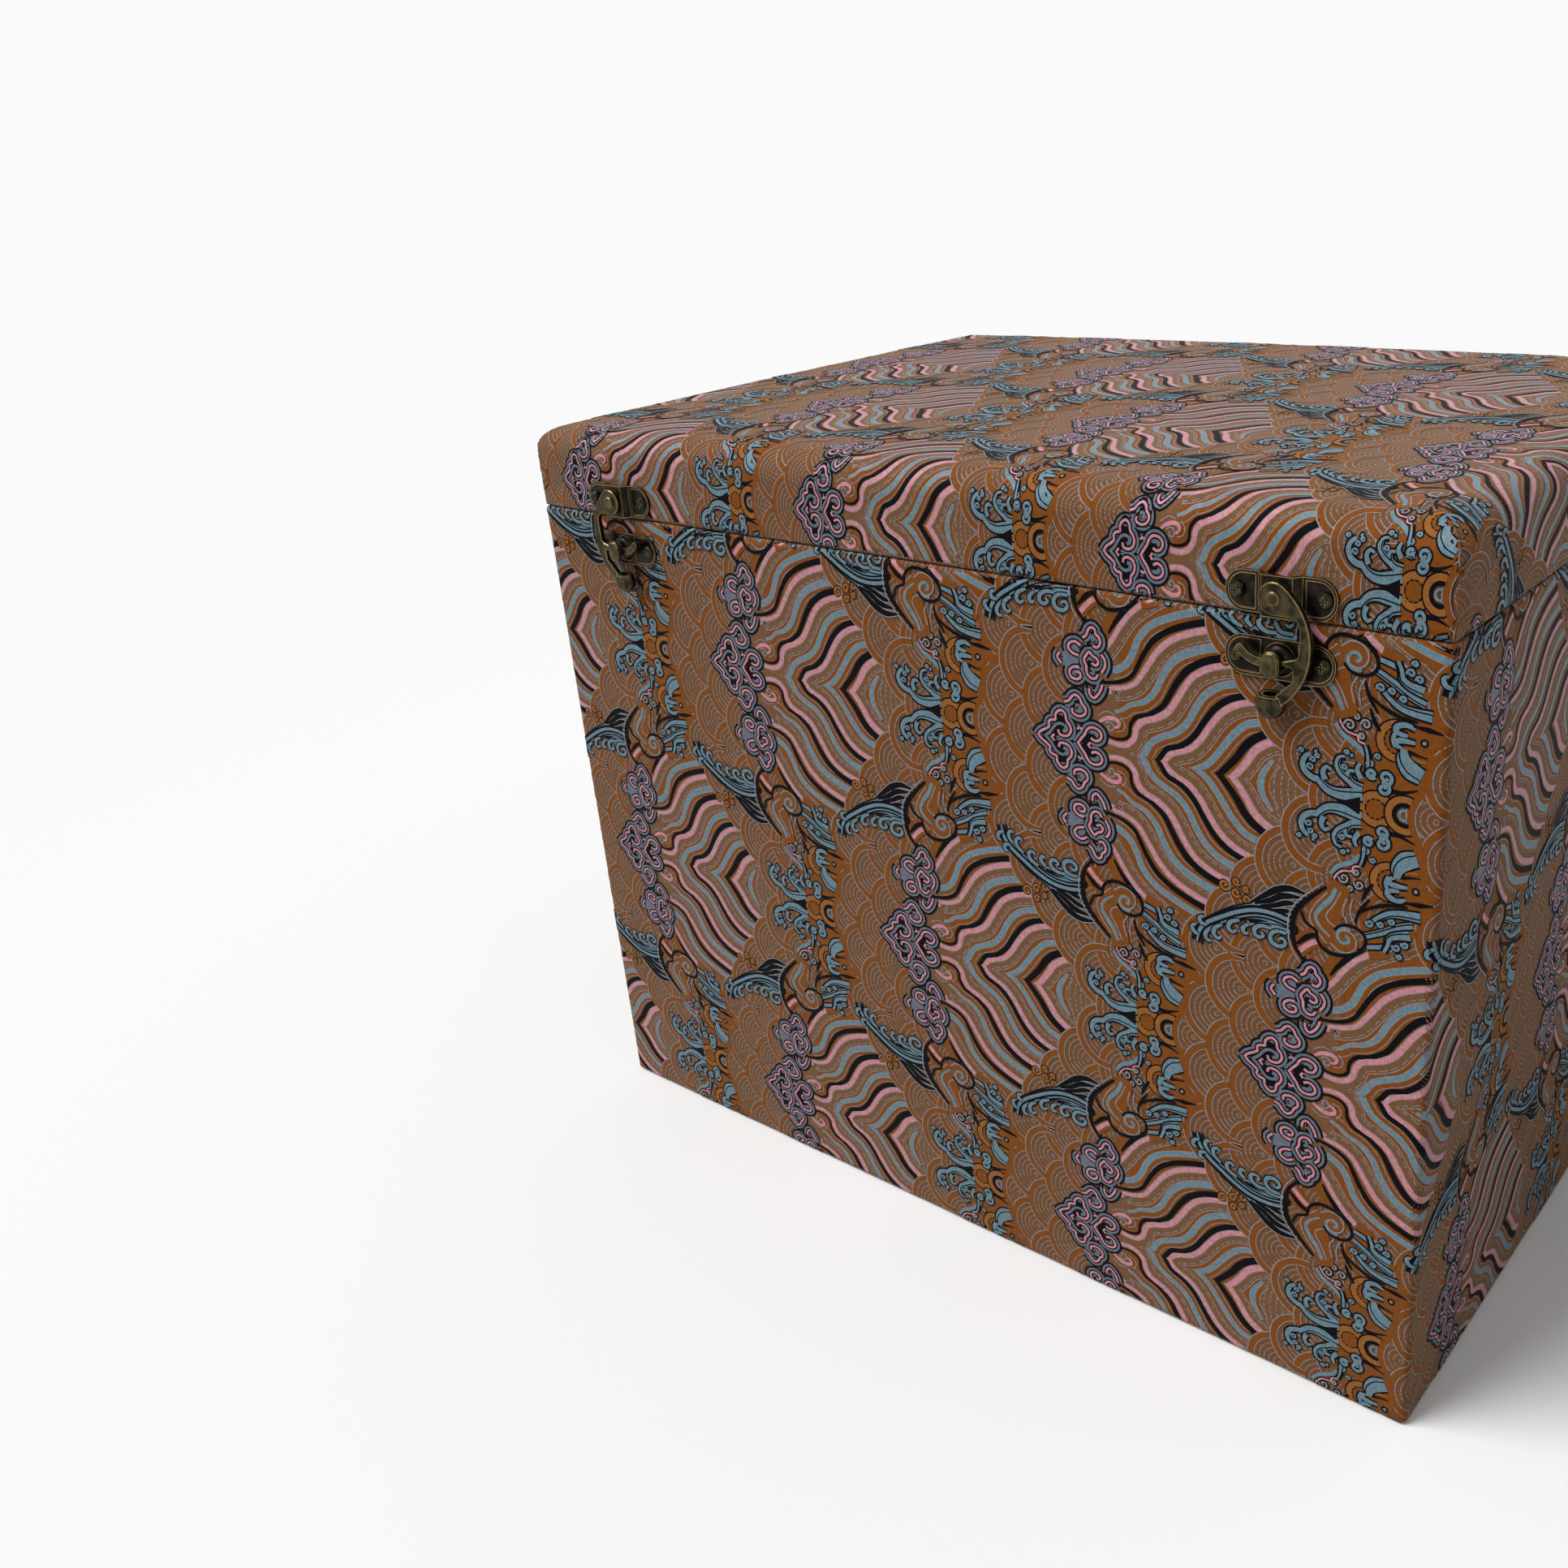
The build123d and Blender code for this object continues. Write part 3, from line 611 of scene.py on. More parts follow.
for centre, covers in (
    [(c, [d for d in left_edge if d[0] > c[0] + 1]) for c in left_edge]
    + [(right_edge[0], right_edge[1:3] + [(first_right, 0)])]
    + [(right_edge[1], [(first_right, 0), right_edge[2]])]
    + [(right_edge[2], [(first_right + scale_pitch, scale_rise / 2)])]
    + [(right_edge[3], [right_edge[2], (first_right, 2 * scale_rise)])]
):
    def seen_part(middle, covers=covers):
        """True where no scale further to the right covers this one."""
        return np.ones(len(middle), bool) if not covers else outside(covers, middle, 0)

    for thread, layer, depth, width, step in (("rust", 4, 1.15, 1.9, 1.0), ("grey", 5, 0.1, 0.32, 0.9),
                                              ("grey", 5, 2.2, 0.26, 0.9)):
        arc = curl(*centre, scale_radius - depth, scale_radius - depth, 84, 192)
        stroke(thread, layer, width, arc, step, 0, seen_part)
print("edge scales", len(strokes), "strokes")

# %% [markdown]
# ### Striped water
# The water runs in bands of black, pink and blue over a rust ground. Below each pink band the ground
# turns to brown satin. Thin grey lines edge the pink and the blue bands. The bands were drawn one by
# one.

# %% Striped water
water_bands = [
    ("black", [0.4, 1.1, 0.9], [(12.2, 30.3), (14.3, 33.6), (17.5, 37.3), (20, 39.5)]),
    ("pink", [0.9, 1.3], [(10.6, 25.6), (13.3, 29), (15.3, 32.2), (18.3, 36), (22, 39), (26, 41.6),
                          (30, 43.5)]),
    ("blue", 1.4, [(13, 21), (15.5, 22), (17.7, 24), (19.3, 27), (20.8, 30.5), (24, 34), (29, 36.6),
                   (36, 39), (42, 40)]),
    ("black", [0.6, 1.1, 1.3], [(10.4, 17.4), (15, 18.4), (18.4, 20.3), (20.4, 23.5), (22.1, 26.7),
                                (24.6, 30.2), (28.2, 33), (33, 35.2), (39, 37), (46, 38)]),
    ("pink", [0.8, 1.3, 1.4], [(12.4, 14.8), (12.2, 16.2), (16, 17), (19.4, 18.7), (21.5, 21.4),
                               (23.6, 24.6), (26, 28), (29.5, 31.1), (34, 33.4), (39.5, 35.2), (46, 36.4)]),
    ("blue", [0.4, 1.3, 1.5, 1.5], [(13.6, 10.4), (16, 11.4), (18, 13), (22, 14.5), (25, 17.5),
                                    (27, 21.5), (30, 25.8), (34, 28.6), (41, 31.1), (47, 32)]),
    ("black", [0.4, 0.9, 1.3, 1.4], [(10.4, 4.4), (12.2, 3.4), (14.5, 3.3), (16.5, 3.9), (17.7, 5.2),
                                     (18, 7.8), (19.7, 10.1), (22.6, 11.1), (25.1, 12.6), (27.4, 14.6),
                                     (29.4, 18), (31.5, 21.5), (34.5, 25), (38.5, 27.4), (43, 28.9),
                                     (49, 30)]),
    ("pink", [0.9, 1.5, 1.3, 1.4], [(10.3, 2.4), (14, 1.8), (17, 2.4), (19, 4.4), (19.6, 7), (21.5, 9.4),
                                    (25.5, 11), (28.8, 13.3), (31.3, 17), (33.5, 20.6), (36, 23.6),
                                    (40, 26.1), (44.5, 27.5), (50, 28.4)]),
    ("blue", [1.2, 1.4, 1.5], [(20.2, -0.9), (22, 1), (24, 4.4), (27, 6.4), (31, 8.4), (34, 11.4),
                               (36.2, 15.4), (39, 19.4), (43, 22.2), (48, 23.6), (54, 24.3)]),
    ("black", [1.0, 1.1, 1.3], [(25.2, -0.9), (27, 1.9), (28.5, 3.7), (32, 5.0), (35.5, 8), (38.5, 12.5),
                                (41.5, 16.5), (45.5, 19.5), (51, 21.3), (57, 22)]),
    ("pink", [1.2, 1.3, 1.4], [(27.0, -0.9), (28.6, 1.7), (31, 3.2), (34.5, 4.7), (37.5, 7.7), (40.3, 12),
                               (43.4, 15.8), (47.5, 18.5), (52.5, 20), (58, 20.6)]),
    ("blue", [1.2, 1.4, 1.5], [(35.0, -0.8), (38.5, 1.2), (41, 3.6), (43.5, 7), (46, 10.4), (49.5, 13.8),
                               (53.5, 15.1), (60, 16)]),
    ("black", [1.1, 1.5, 1.4], [(41.8, -0.9), (44.4, 2), (47, 5), (49.3, 8.4), (52, 11), (55.6, 12.8),
                                (61, 13.7)]),
    ("pink", [1.3, 1.7, 1.6], [(45.2, -1.0), (48, 2.1), (50.2, 5.2), (52, 8), (55, 10.3), (57.8, 11.4),
                               (62, 12)]),
    ("blue", [1.5, 1.1, 0.4], [(53.4, -0.5), (54.0, 2.6), (56.6, 6.6)]),
]
# The rust ground and the grey edge stand out this much over a band, and black bands are drawn wider
rust_margin, grey_margin, black_share = 4.6, 0.5, 1.4
for thread, width, line in water_bands:
    stroke("rust", 0, np.max(width) + rust_margin, line, 1.2, 0, before_left_edge)
    if thread == "pink":
        stroke("satin", 1, 2.6, line, 1.2, 1.9, before_left_edge)
        stroke("grey", 2, 0.22, line, 0.9, 2.5, before_left_edge, dotted=True)
        stroke("grey", 2, 0.24, line, 0.9, 3.2, before_left_edge)
    if thread == "blue":
        stroke("grey", 2, 0.22, line, 0.9, 2.2, before_left_edge)
    if thread == "black":
        width = np.ravel(width) * black_share
    else:
        stroke("grey", 2, np.ravel(width) + grey_margin, line, 1.2, 0, before_left_edge)
    stroke(thread, 3, width, line, 1.0, 0, before_left_edge)
# Rings round the scale on the axis, where the water ends
for radius in (12, 15, 18):
    arc = curl(*left_edge[0], radius, radius, 183, -62)
    stroke("satin", 0, 3.6, arc, 1.2, 0, before_left_edge)
for radius in (11.5, 13.3, 15.1, 16.9, 18.7):
    arc = curl(*left_edge[0], radius, radius, 183, -45)
    stroke("grey", 2, 0.28, arc, 0.5, 0, before_left_edge, dotted=True)
print("with striped water", len(strokes), "strokes")

# %% [markdown]
# ### Clouds
# A ruyi cloud is a pink line between black lines inside a blue-grey band with a black rim. Every line
# of the clouds is drawn as the same stack of four ribbons. The wide ones lie in the lower layers, so
# neighbouring lobes melt into one shape with one outer rim, as in the weave.

# %% Clouds
cloud_lines = [
    [(-10.2, -0.5), (-9.2, 0.9), (-7.4, 2.0), (-6.4, 2.9), (-6.6, 3.9), (-5.7, 4.7), (-4.4, 5.0),
     (-4.4, 6.2), (-3.7, 7.3), (-2.5, 7.9), (-1.3, 7.1), (-1.0, 5.4), (-0.1, 4.4), (0.3, 2.9),
     (-0.5, 1.5), (-1.9, 1.0), (-3.3, 1.3), (-3.6, 2.4)],
    [(2.0, -0.5), (3.3, 1.3), (4.4, 2.6), (5, 3.8), (5.9, 4.7), (7.2, 5.0), (8.8, 4.5), (9.5, 3.3),
     (8.9, 2), (7.6, 1.5), (6.3, 2.0)],
    [(-1.5, 10.4), (-0.1, 10.9), (0.9, 12.2), (2, 12.8), (3.3, 12.0), (3.9, 10.7), (4.9, 9.6), (4.8, 8.3),
     (3.7, 7.4), (2.2, 7.3), (0.9, 8.0), (1.0, 9.1)],
    [(-2.3, 23.3), (-3.1, 22), (-1.9, 20.5)],
    [(4.0, 26.0), (2.5, 26.8), (0.9, 26.3), (0.3, 25), (1.5, 23.8), (3.4, 23.3)],
    [(3.4, 20.4), (1.7, 20.1), (0.5, 19.0), (0.8, 17.5), (2.4, 17.0), (3.7, 17.7), (3.5, 18.9), (2.4, 18.9)],
    [(7.2, 22.0), (8.2, 21.5), (9.1, 22.2), (8.7, 23.3), (7.4, 23.9), (6.6, 24.8), (5.8, 24.0),
     (4.9, 22.5), (5.5, 21.2), (5.7, 19.2), (6.7, 18.1), (8.1, 18.1), (8.9, 19.2)],
    [(10.0, 24.6), (11.0, 23.3), (11.0, 21.6), (10.0, 19.9)],
    [(4.7, 28.1), (5.8, 29.0), (6.4, 30.4), (7.4, 31.2), (8.4, 30.6), (8.6, 29.6), (9.6, 28.7),
     (9.8, 27.4), (8.9, 26.2), (7.7, 26.5)],
    [(10.1, 16.8), (9.6, 15.3), (8.7, 13.9), (7.4, 12.9), (6.3, 13.9), (6.2, 15.2)],
]
cloud_hearts = [
    ([(-8.6, 0), (-5.5, 1.6), (-3.2, 3.4), (-2.6, 6.4)], [1.2, 3.2, 3.6, 2.2]),
    ([(3.6, 0), (5.2, 1.2), (7.2, 3.2)], [1.5, 2.2, 2.0]),
    ([(2.6, 9.9), (2.4, 11.4)], [2.2, 1.6]),
    ([(7.0, 19.6), (7.0, 22.6)], [2.0, 2.0]),
]
cloud_swirls = [
    [(-8.0, -0.2), (-6.2, 1.3), (-5.1, 2.8), (-4.0, 3.9), (-2.4, 4.2), (-1.3, 3.4), (-1.5, 2.5), (-2.3, 2.4)],
    [(2.6, 9.0), (3.4, 9.4), (2.9, 10.2), (1.9, 9.9)],
    [(3.4, 24.7), (2.4, 25.5), (1.7, 25.1)],
    [(6.8, 20.6), (7.8, 20.2), (7.4, 19.6)],
    [(7.2, 28.9), (7.9, 28.3), (7.3, 27.7)],
    [(6.2, 3.4), (7.2, 3.7), (7.8, 3.1)],
]
stroke("satin", 0, [6, 8, 8, 6], [(7.5, 1), (10.5, 9), (11, 17), (12, 26)], 1.2)
stroke("black", 10, [4.6, 6.6], [(-1.6, 21.9), (3.2, 21.9)], 0.6)
stroke("slate", 11, [3.6, 5.4], [(-1.6, 21.9), (3.2, 21.9)], 0.6)
for line in cloud_lines:
    stroke("black", 10, 4.3, line, 0.6)
    stroke("slate", 11, 3.0, line, 0.6)
    stroke("black", 12, 1.6, line, 0.5)
    stroke("pink", 15, 0.7, line, 0.45)
for line, width in cloud_hearts:
    stroke("black", 12, width, line, 0.6)
for line in cloud_swirls:
    stroke("slate", 14, 0.8, line, 0.45)
for line in ([(-4.9, 0.9), (-6.0, -0.2)], [(6.1, 0.8), (5.3, -0.2)], [(2.2, 3.7), (3.0, 4.2), (3.7, 3.8)]):
    stroke("pink", 15, 0.6, line, 0.45)
stroke("black", 9, [0.7, 0.9, 0.6], [(4.6, 12.6), (5.4, 14.5), (5.6, 16.5)], 0.6)
stroke("black", 9, [0.5, 1.3, 0.5], [(6.5, 31.5), (4.2, 35.0), (3.2, 41.0)], 0.8)
# Pink curls where the water leaves the clouds
stroke("pink", 6, [0.7, 1.2, 1.1, 0.6], [(8.8, 6.8), (10.4, 7.9), (12.2, 8.5), (13.8, 8.4), (14.8, 7.5),
                                         (14.2, 6.4), (13.2, 6.2)])
stroke("grey", 6, 0.4, curl(12.0, 6.0, 1.6, 0.3, 150, -430), 0.5)
stroke("grey", 6, 0.3, [(15.2, 9.3), (16.4, 7.6), (15.9, 5.9), (14.0, 5.2)], 0.6)
stroke("grey", 6, 0.3, [(8.6, 8.6), (11.0, 10.0), (13.4, 9.6)], 0.6)
print("with clouds", len(strokes), "strokes")

# %% [markdown]
# ### Rock and spray
# On the axis, between two clouds, a rock shows as concentric horseshoes. Spray curls away from it on
# both sides. Blue strokes are laid over slightly wider black ones, which leaves a thin dark outline.


# %% Rock
def outlined(thread, layer, width, points, rim=1.0, step=0.6):
    """A stroke of thread with a black rim: the same path first in black, wider by the rim. A wide
    stroke gets a fine black line inside it, a fifth of its width aside."""
    stroke("black", layer, np.ravel(width) + rim, points, step)
    stroke(thread, layer + 1, width, points, step)
    if np.max(width) > 1.5:
        stroke("black", layer + 2, 0.34, points, step, 0.2 * np.max(width))


for line, width in (
    ([(85.0, -2), (85.2, 7), (86.6, 14), (87.6, 21.5)], [18, 16, 14, 10]),
    ([(88, 15), (92, 17.5), (96, 18.4), (99, 18.8)], [4, 9, 9, 3]),
    ([(92.5, 3), (90.5, 6), (91.5, 10)], [5, 6, 6]),
    ([(90, 21), (93, 21.5), (97, 22.5)], [5, 4, 2]),
):
    stroke("rust", 6, width, line, 1.0, 0, before_right_edge)
stroke("black", 7, [0.4, 4.6], [(72.8, 0), (78.6, 0)], 0.8)
stroke("black", 7, [1.5, 0.9, 0.3], [(84.4, 5.2), (87.5, 5.2), (91.4, 6.5)], 0.8)
for x, outer, turn in ((82.0, 4.4, -180), (88.7, 4.7, -112)):
    stroke("black", 8 + (x > 85), 0.5, curl(x, 0, outer + 0.1, outer + 0.1, 180, turn), 0.8)
    stroke("ochre", 9 + (x > 85), 1.7, curl(x, 0, outer - 0.95, outer - 0.95, 180, turn), 0.8)
stroke("black", 9, 0.35, curl(81.8, 0, 2.4, 2.4, 180, -180), 0.45, dotted=True)
stroke("black", 11, 1.1, curl(88.7, 0, 2.5, 2.5, 180, -112), 0.7)
stroke("blue", 11, 0.6, curl(88.6, 0, 1.2, 1.2, 180, -118), 0.5)
print("with the rock", len(strokes), "strokes")

# %% [markdown]
# ### Spray
# The spray rises from the rock in curling arms with drops round their ends. The arms are tapered
# strokes, and the drops are short spirals, which close into round dots with a dark middle.

# %% Spray
spray = [
    ([(78.6, 2.8), (75.4, 2.2), (72.8, 1.9), (70.5, 2.3), (68.9, 3.4), (67.5, 4.9)], [2.8, 2.8, 2.1, 1.4]),
    ([(68.2, 4.2), (66.4, 4.5), (64.7, 5.6), (64.0, 7.4), (64.6, 9.2), (65.9, 10.2)], [1.5, 1.4, 1.0]),
    ([(78.6, 4.3), (76.4, 4.9), (75.1, 6.3), (75.4, 7.8), (76.6, 7.9)], [2.1, 1.7, 0.9]),
    ([(75.4, 5.6), (73.4, 7.0), (72.4, 8.8), (72.9, 10.6), (74.3, 11.0)], [1.7, 1.4, 0.9]),
    ([(69.6, 4.6), (69.0, 6.4), (69.9, 7.8), (71.1, 7.2)], [1.4, 1.1, 0.7]),
    ([(78.2, 6.6), (77.2, 8.6), (77.8, 10.2)], [1.3, 1.1, 0.7]),
    ([(79.8, 7.0), (79.9, 9.5), (79.6, 12.6), (78.9, 14.8)], [1.6, 1.1, 0.6]),
]
for line, width in spray:
    outlined("blue", 12, width, line)
stroke("black", 14, [1.0, 4.4], [(74.4, 0), (78.2, 0)], 0.8)
for x, y, size in ((65.9, 6.9, 0.9), (66.5, 8.8, 0.7), (74.2, 8.5, 0.75), (67.6, 9.9, 0.6),
                   (63.6, 10.6, 0.6), (74.6, 12.2, 0.6), (80.2, 10.6, 0.9), (81.8, 12.6, 0.7)):
    outlined("blue", 12, 0.5, curl(x, y, size, 0.3, 200, -400), 0.7, 0.4)
for x, y in ((67.2, 10.9), (75.8, 11.7)):
    stroke("black", 12, 0.9, curl(x, y, 0.45, 0.45, 0, 345), 0.4)
    stroke("blue", 13, 0.5, curl(x, y, 0.25, 0.25, 0, 345), 0.3)
for x, y, size, start in ((83.9, 8.0, 1.8, 250), (83.6, 5.3, 1.6, 110), (80.6, 8.3, 1.2, -40)):
    turn = 470 if start > 200 else -470
    stroke("black", 13, 1.7, curl(x, y, size, 0.5, start, turn), 0.5)
    stroke("blue", 14, 0.85, curl(x, y, size, 0.4, start, turn), 0.45)
# Pink-edged curls above the stem
pearls = [(72.6, 20.6), (72.9, 19.0), (74.3, 17.3), (76.0, 16.8), (77.0, 16.6), (77.3, 15.4), (78.8, 15.0)]
stroke("blue", 11, [0.9, 1.3, 0.9], [(71.6, 18.6), (73.6, 16.2), (77, 14.2), (79.6, 11.5)], 0.6)
outlined("pink", 12, 0.5, pearls, 0.6, 0.45)
for x, y, size in ((75.0, 18.8, 1.4), (77.9, 16.6, 0.8), (78.8, 19.6, 1.2), (76.6, 21.0, 0.8)):
    stroke("black", 12, 1.2, curl(x, y, size, 0.4, 180, -400), 0.4)
    stroke("grey", 13, 0.5, curl(x, y, size, 0.3, 180, -430), 0.4)
stroke("black", 11, [0.4, 1.1, 0.7], [(79.6, 23.5), (80.8, 20.5), (82.2, 18.6)], 0.6)
print("with the spray", len(strokes), "strokes")

# %% [markdown]
# ### The crest like a fish's head
# Beside the rock a small crest looks to the right. An ochre arc is its back, blue fingers of foam are
# its fins, and a ring is its eye.

# %% Crest like a fish's head
stroke("black", 9, 0.45, curl(86.2, 17.1, 5.0, 5.0, 88, 185), 0.8)
stroke("ochre", 10, 1.6, curl(86.2, 17.1, 4.05, 4.05, 88, 185), 0.8)
stroke("black", 10, 0.35, curl(86.2, 17.1, 3.1, 3.1, 95, 175), 0.45, dotted=True)
crest = [
    ([(90.0, 20.6), (88.0, 21.2), (86.2, 20.7), (85.5, 19.6), (86.8, 18.9), (88.4, 18.8)], [1.0, 1.4, 0.8]),
    ([(90.2, 17.4), (88.0, 17.5), (86.3, 17.3), (85.9, 16.2), (87.2, 15.6)], [0.8, 1.4, 0.8]),
    ([(87.6, 15.6), (87.8, 13.2), (89.4, 11.0), (92.0, 9.8)], [1.6, 3.4, 4.4, 3.6]),
    ([(85.6, 19.2), (85.2, 17.6), (85.6, 15.6)], [0.7, 1.2, 0.7]),
]
for line, width in crest:
    outlined("blue", 12, width, line)
stroke("black", 14, [0.9, 0.5, 0.3], [(89.0, 15.2), (90.8, 14.7), (93.0, 14.4)], 0.6)
stroke("ochre", 14, [0.4, 0.8, 0.4], [(89.6, 14.1), (91.0, 13.5), (92.8, 13.3)], 0.6)
stroke("black", 14, [0.4, 1.3, 0.3], [(89.5, 21.2), (92.6, 21.0), (96.4, 20.4)], 0.7)
stroke("black", 14, 0.5, curl(92.2, 17.8, 0.75, 0.75, 0, 350), 0.4)
stroke("grey", 14, 0.5, curl(92.2, 17.8, 0.27, 0.27, 0, 350), 0.3)
print("with the crest", len(strokes), "strokes")

# %% [markdown]
# ### Wave crests between the rows
# Long crests run slantwise from one row to the next and end in a great scroll. They are the darkest
# part of the pattern: black leaves over blue bands, with fine lines between.

# %% Wave crests
tail = [(36.6, 46.8), (37.6, 43.4), (39.9, 40.7), (43.6, 38.2), (48.0, 35.6), (52.6, 33.8), (57.4, 33.4),
        (62.4, 34.2)]
outlined("blue", 16, [0.6, 2.2, 3.2, 3.6, 4.4, 5.2], tail, 0.9)
for aside, width in ((-1.5, 0.5), (-0.5, 0.65), (1.4, 0.6)):
    stroke("black", 19, width, tail, 0.7, aside)
outlined("blue", 16, [0.8, 1.7, 2.0], [(51.2, 37.6), (55.0, 36.8), (58.6, 36.2), (62.6, 36.4)])
for leaf, width in (
    ([(51.5, 31.6), (54.6, 29.2), (58.0, 26.6), (61.6, 25.2), (66.2, 25.6)], [0.6, 1.4, 1.9, 1.6, 0.5]),
    ([(52.5, 31.6), (56.4, 29.8), (60.0, 27.6), (65.0, 26.8)], [0.6, 1.5, 1.7, 0.5]),
    ([(54.0, 31.8), (57.6, 30.8), (61.0, 29.2), (64.4, 28.8)], [0.5, 1.3, 1.5, 0.5]),
    ([(56.5, 32.4), (60.0, 31.6), (63.4, 31.0)], [0.5, 1.3, 0.7]),
):
    stroke("grey", 17, np.array(width) + 0.55, leaf, 0.7)
    stroke("black", 18, width, leaf, 0.7)
for line in (
    [(57.0, 37.2), (54.6, 37.2), (52.7, 38.3), (52.6, 39.9), (53.8, 40.5), (55.0, 39.8), (54.4, 39.0)],
    [(61.0, 37.4), (58.2, 37.6), (56.8, 39.2), (57.4, 41.0), (59.6, 41.4), (60.9, 40.1), (60.0, 39.0),
     (59.0, 39.6)],
    [(48.4, 37.4), (46.0, 38.6), (45.4, 40.4), (46.6, 41.2), (47.6, 40.4)],
    [(43.6, 40.0), (41.6, 41.6), (41.4, 43.4), (42.6, 44.2), (43.4, 43.4)],
    [(40.2, 42.0), (39.0, 43.8), (39.4, 45.4), (40.6, 45.4)],
    [(37.0, 44.8), (35.6, 44.0), (35.2, 42.6), (36.2, 42.0)],
    [(39.2, 41.4), (37.6, 41.0), (37.4, 39.6), (38.6, 39.2)],
    [(50.8, 37.8), (49.4, 39.2), (49.8, 40.6), (50.9, 40.2)],
):
    outlined("blue", 18, [0.8, 1.2, 0.7], line, 0.7, 0.45)
print("with the wave crests", len(strokes), "strokes")

# %% [markdown]
# ### The great scroll
# The long crest breaks over a dark spine into a scroll of rust and brown satin. Its black outline is
# laid last, over the ends of the fine lines inside it.

# %% Scroll
spine = [(65.8, 43.5), (63.4, 40.2), (62.6, 36.5), (62.7, 32.5), (64.3, 29.0), (67.5, 25.5), (70.9, 22.2)]
scroll = [(64.6, 30.2), (66, 33), (68.6, 34.3), (69.1, 36.8), (70.9, 38.7), (73.5, 39.3), (77, 38.5),
          (79.7, 36.8), (81, 34.4), (80.7, 32.4), (79.2, 31.1), (77, 30.7), (74.7, 31.3), (73.2, 32.9)]
stroke("rust", 15, [4, 8.5, 8.5, 7, 4.5], [(74.5, 36.0), (71.2, 33.0), (70.6, 29.5), (72.6, 25.5),
                                           (74.6, 20.5)], 1.0)
stroke("satin", 15, [7, 9.0, 7], [(73.4, 35.4), (76.4, 34.8), (78.2, 34.2)], 1.0)
stroke("rust", 16, [2.8, 2.4, 1.0], curl(75.8, 34.6, 2.6, 0.6, 150, -420), 0.6)
stroke("blue", 17, [0.5, 0.9, 1.3, 1.0], [(72.2, 35.0), (69.6, 33.0), (68.4, 30.6), (69.8, 27.9),
                                          (71.9, 25.2), (73.3, 22.0)])
for line in (
    [(75.5, 32.6), (72.2, 31.4), (71.1, 29.5), (72.9, 26.3), (74.5, 22.6)],
    [(76.4, 30.2), (75.1, 27.6), (75.9, 24.0)],
    [(78.2, 30.2), (77.0, 27.2), (77.4, 23.6)],
    [(71.4, 37.0), (68.0, 33.6), (66.9, 31.0), (68.3, 27.4), (71.2, 23.6)],
):
    stroke("grey", 17, 0.34, line, 0.6)
stroke("grey", 17, 0.4, curl(75.8, 34.6, 4.0, 1.8, 150, -330), 0.55)
stroke("blue", 17, 0.8, curl(76.0, 34.2, 2.7, 0.3, -60, -400), 0.5)
stroke("black", 19, [0.7, 1.3, 1.4, 1.2, 0.8], spine, 0.7)
stroke("grey", 19, 0.35, spine, 0.7, 1.15)
stroke("black", 19, [0.6, 0.95, 0.9, 0.7], scroll, 0.6)
# Striped water seen between the spine and the scroll
stroke("rust", 14, 5, [(63.0, 41.6), (66.6, 37.6), (70.0, 35.8)], 0.9)
stroke("black", 16, [0.8, 1.5, 1.0], [(63.8, 39.4), (66.6, 36.6), (69.0, 35.4)], 0.7)
stroke("pink", 16, 1.3, [(64.6, 41.0), (67.2, 38.3), (69.4, 37.0)], 0.7)
print("with the scroll", len(strokes), "strokes")

# %% [markdown]
# ### Small waves and foam
# Small waves run from the scroll to the next scales, with drops in front of them, and a knot of foam
# lies where the stripes end. They are drawn like the spray.

# %% Small waves and foam
for line, width in (
    ([(80.6, 32.4), (84.4, 30.4), (88.6, 27.8), (92, 26.4)], [1.4, 1.5, 1.6]),
    ([(81.4, 35.0), (83.6, 34.4), (86.0, 33.6)], [1.0, 1.2]),
):
    stroke("rust", 13, 6, line, 1.0, 0, before_right_edge)
    outlined("blue", 14, width, line, 0.9, 0.8)
small_waves = [
    ([(93.6, 24.0), (89.6, 24.3), (86.6, 25.0), (84.2, 26.5), (82.4, 28.2), (81.4, 29.6)],
     [2.4, 1.9, 1.4, 0.9]),
    ([(85.4, 35.2), (86.2, 33.2), (86.6, 31.4), (88.2, 30.2), (91.4, 29.2)], [0.9, 1.3, 1.8, 2.4]),
]
for line, width in small_waves:
    outlined("blue", 16, width, line)
for x, y, size in ((81.8, 28.6, 1.0), (84.4, 28.2, 0.8), (87.0, 26.8, 0.8), (88.4, 33.0, 1.0),
                   (90.4, 31.8, 0.9), (89.2, 35.2, 0.7)):
    stroke("black", 17, 1.25, curl(x, y, size, 0.4, 200, -380), 0.42)
    stroke("blue", 18, 0.6, curl(x, y, size, 0.3, 200, -400), 0.42)
stroke("black", 15, [0.5, 1.0, 0.5], [(79.0, 26.8), (82.0, 24.6), (86.0, 22.9), (90.5, 22.2)], 0.7)
stroke("black", 15, [0.5, 1.0, 0.5], [(78.2, 29.6), (79.2, 26.4), (81.4, 22.6)], 0.7)
# A small knot of foam between the stripes and the scales
for x, y, size in ((44.2, 28.8, 1.5), (47.4, 30.2, 1.3), (50.4, 31.2, 1.1), (47.4, 27.2, 1.0),
                   (50.0, 28.6, 0.8)):
    outlined("ochre", 6, 0.75, curl(x, y, size, 0.4, 30, 380), 0.6, 0.5)
print("whole repeat", len(strokes), "strokes,", max(step for *_, step in laid), "fine steps at most")

# %% [markdown]
# ### Laying the repeat on the cloth
# The loom repeats the drawing in rows, each row set half a repeat along from the one below. All copies
# of all strokes of one thread are put together as arrays, sent through the function that wraps the
# cloth round the box, and become one mesh for each thread.


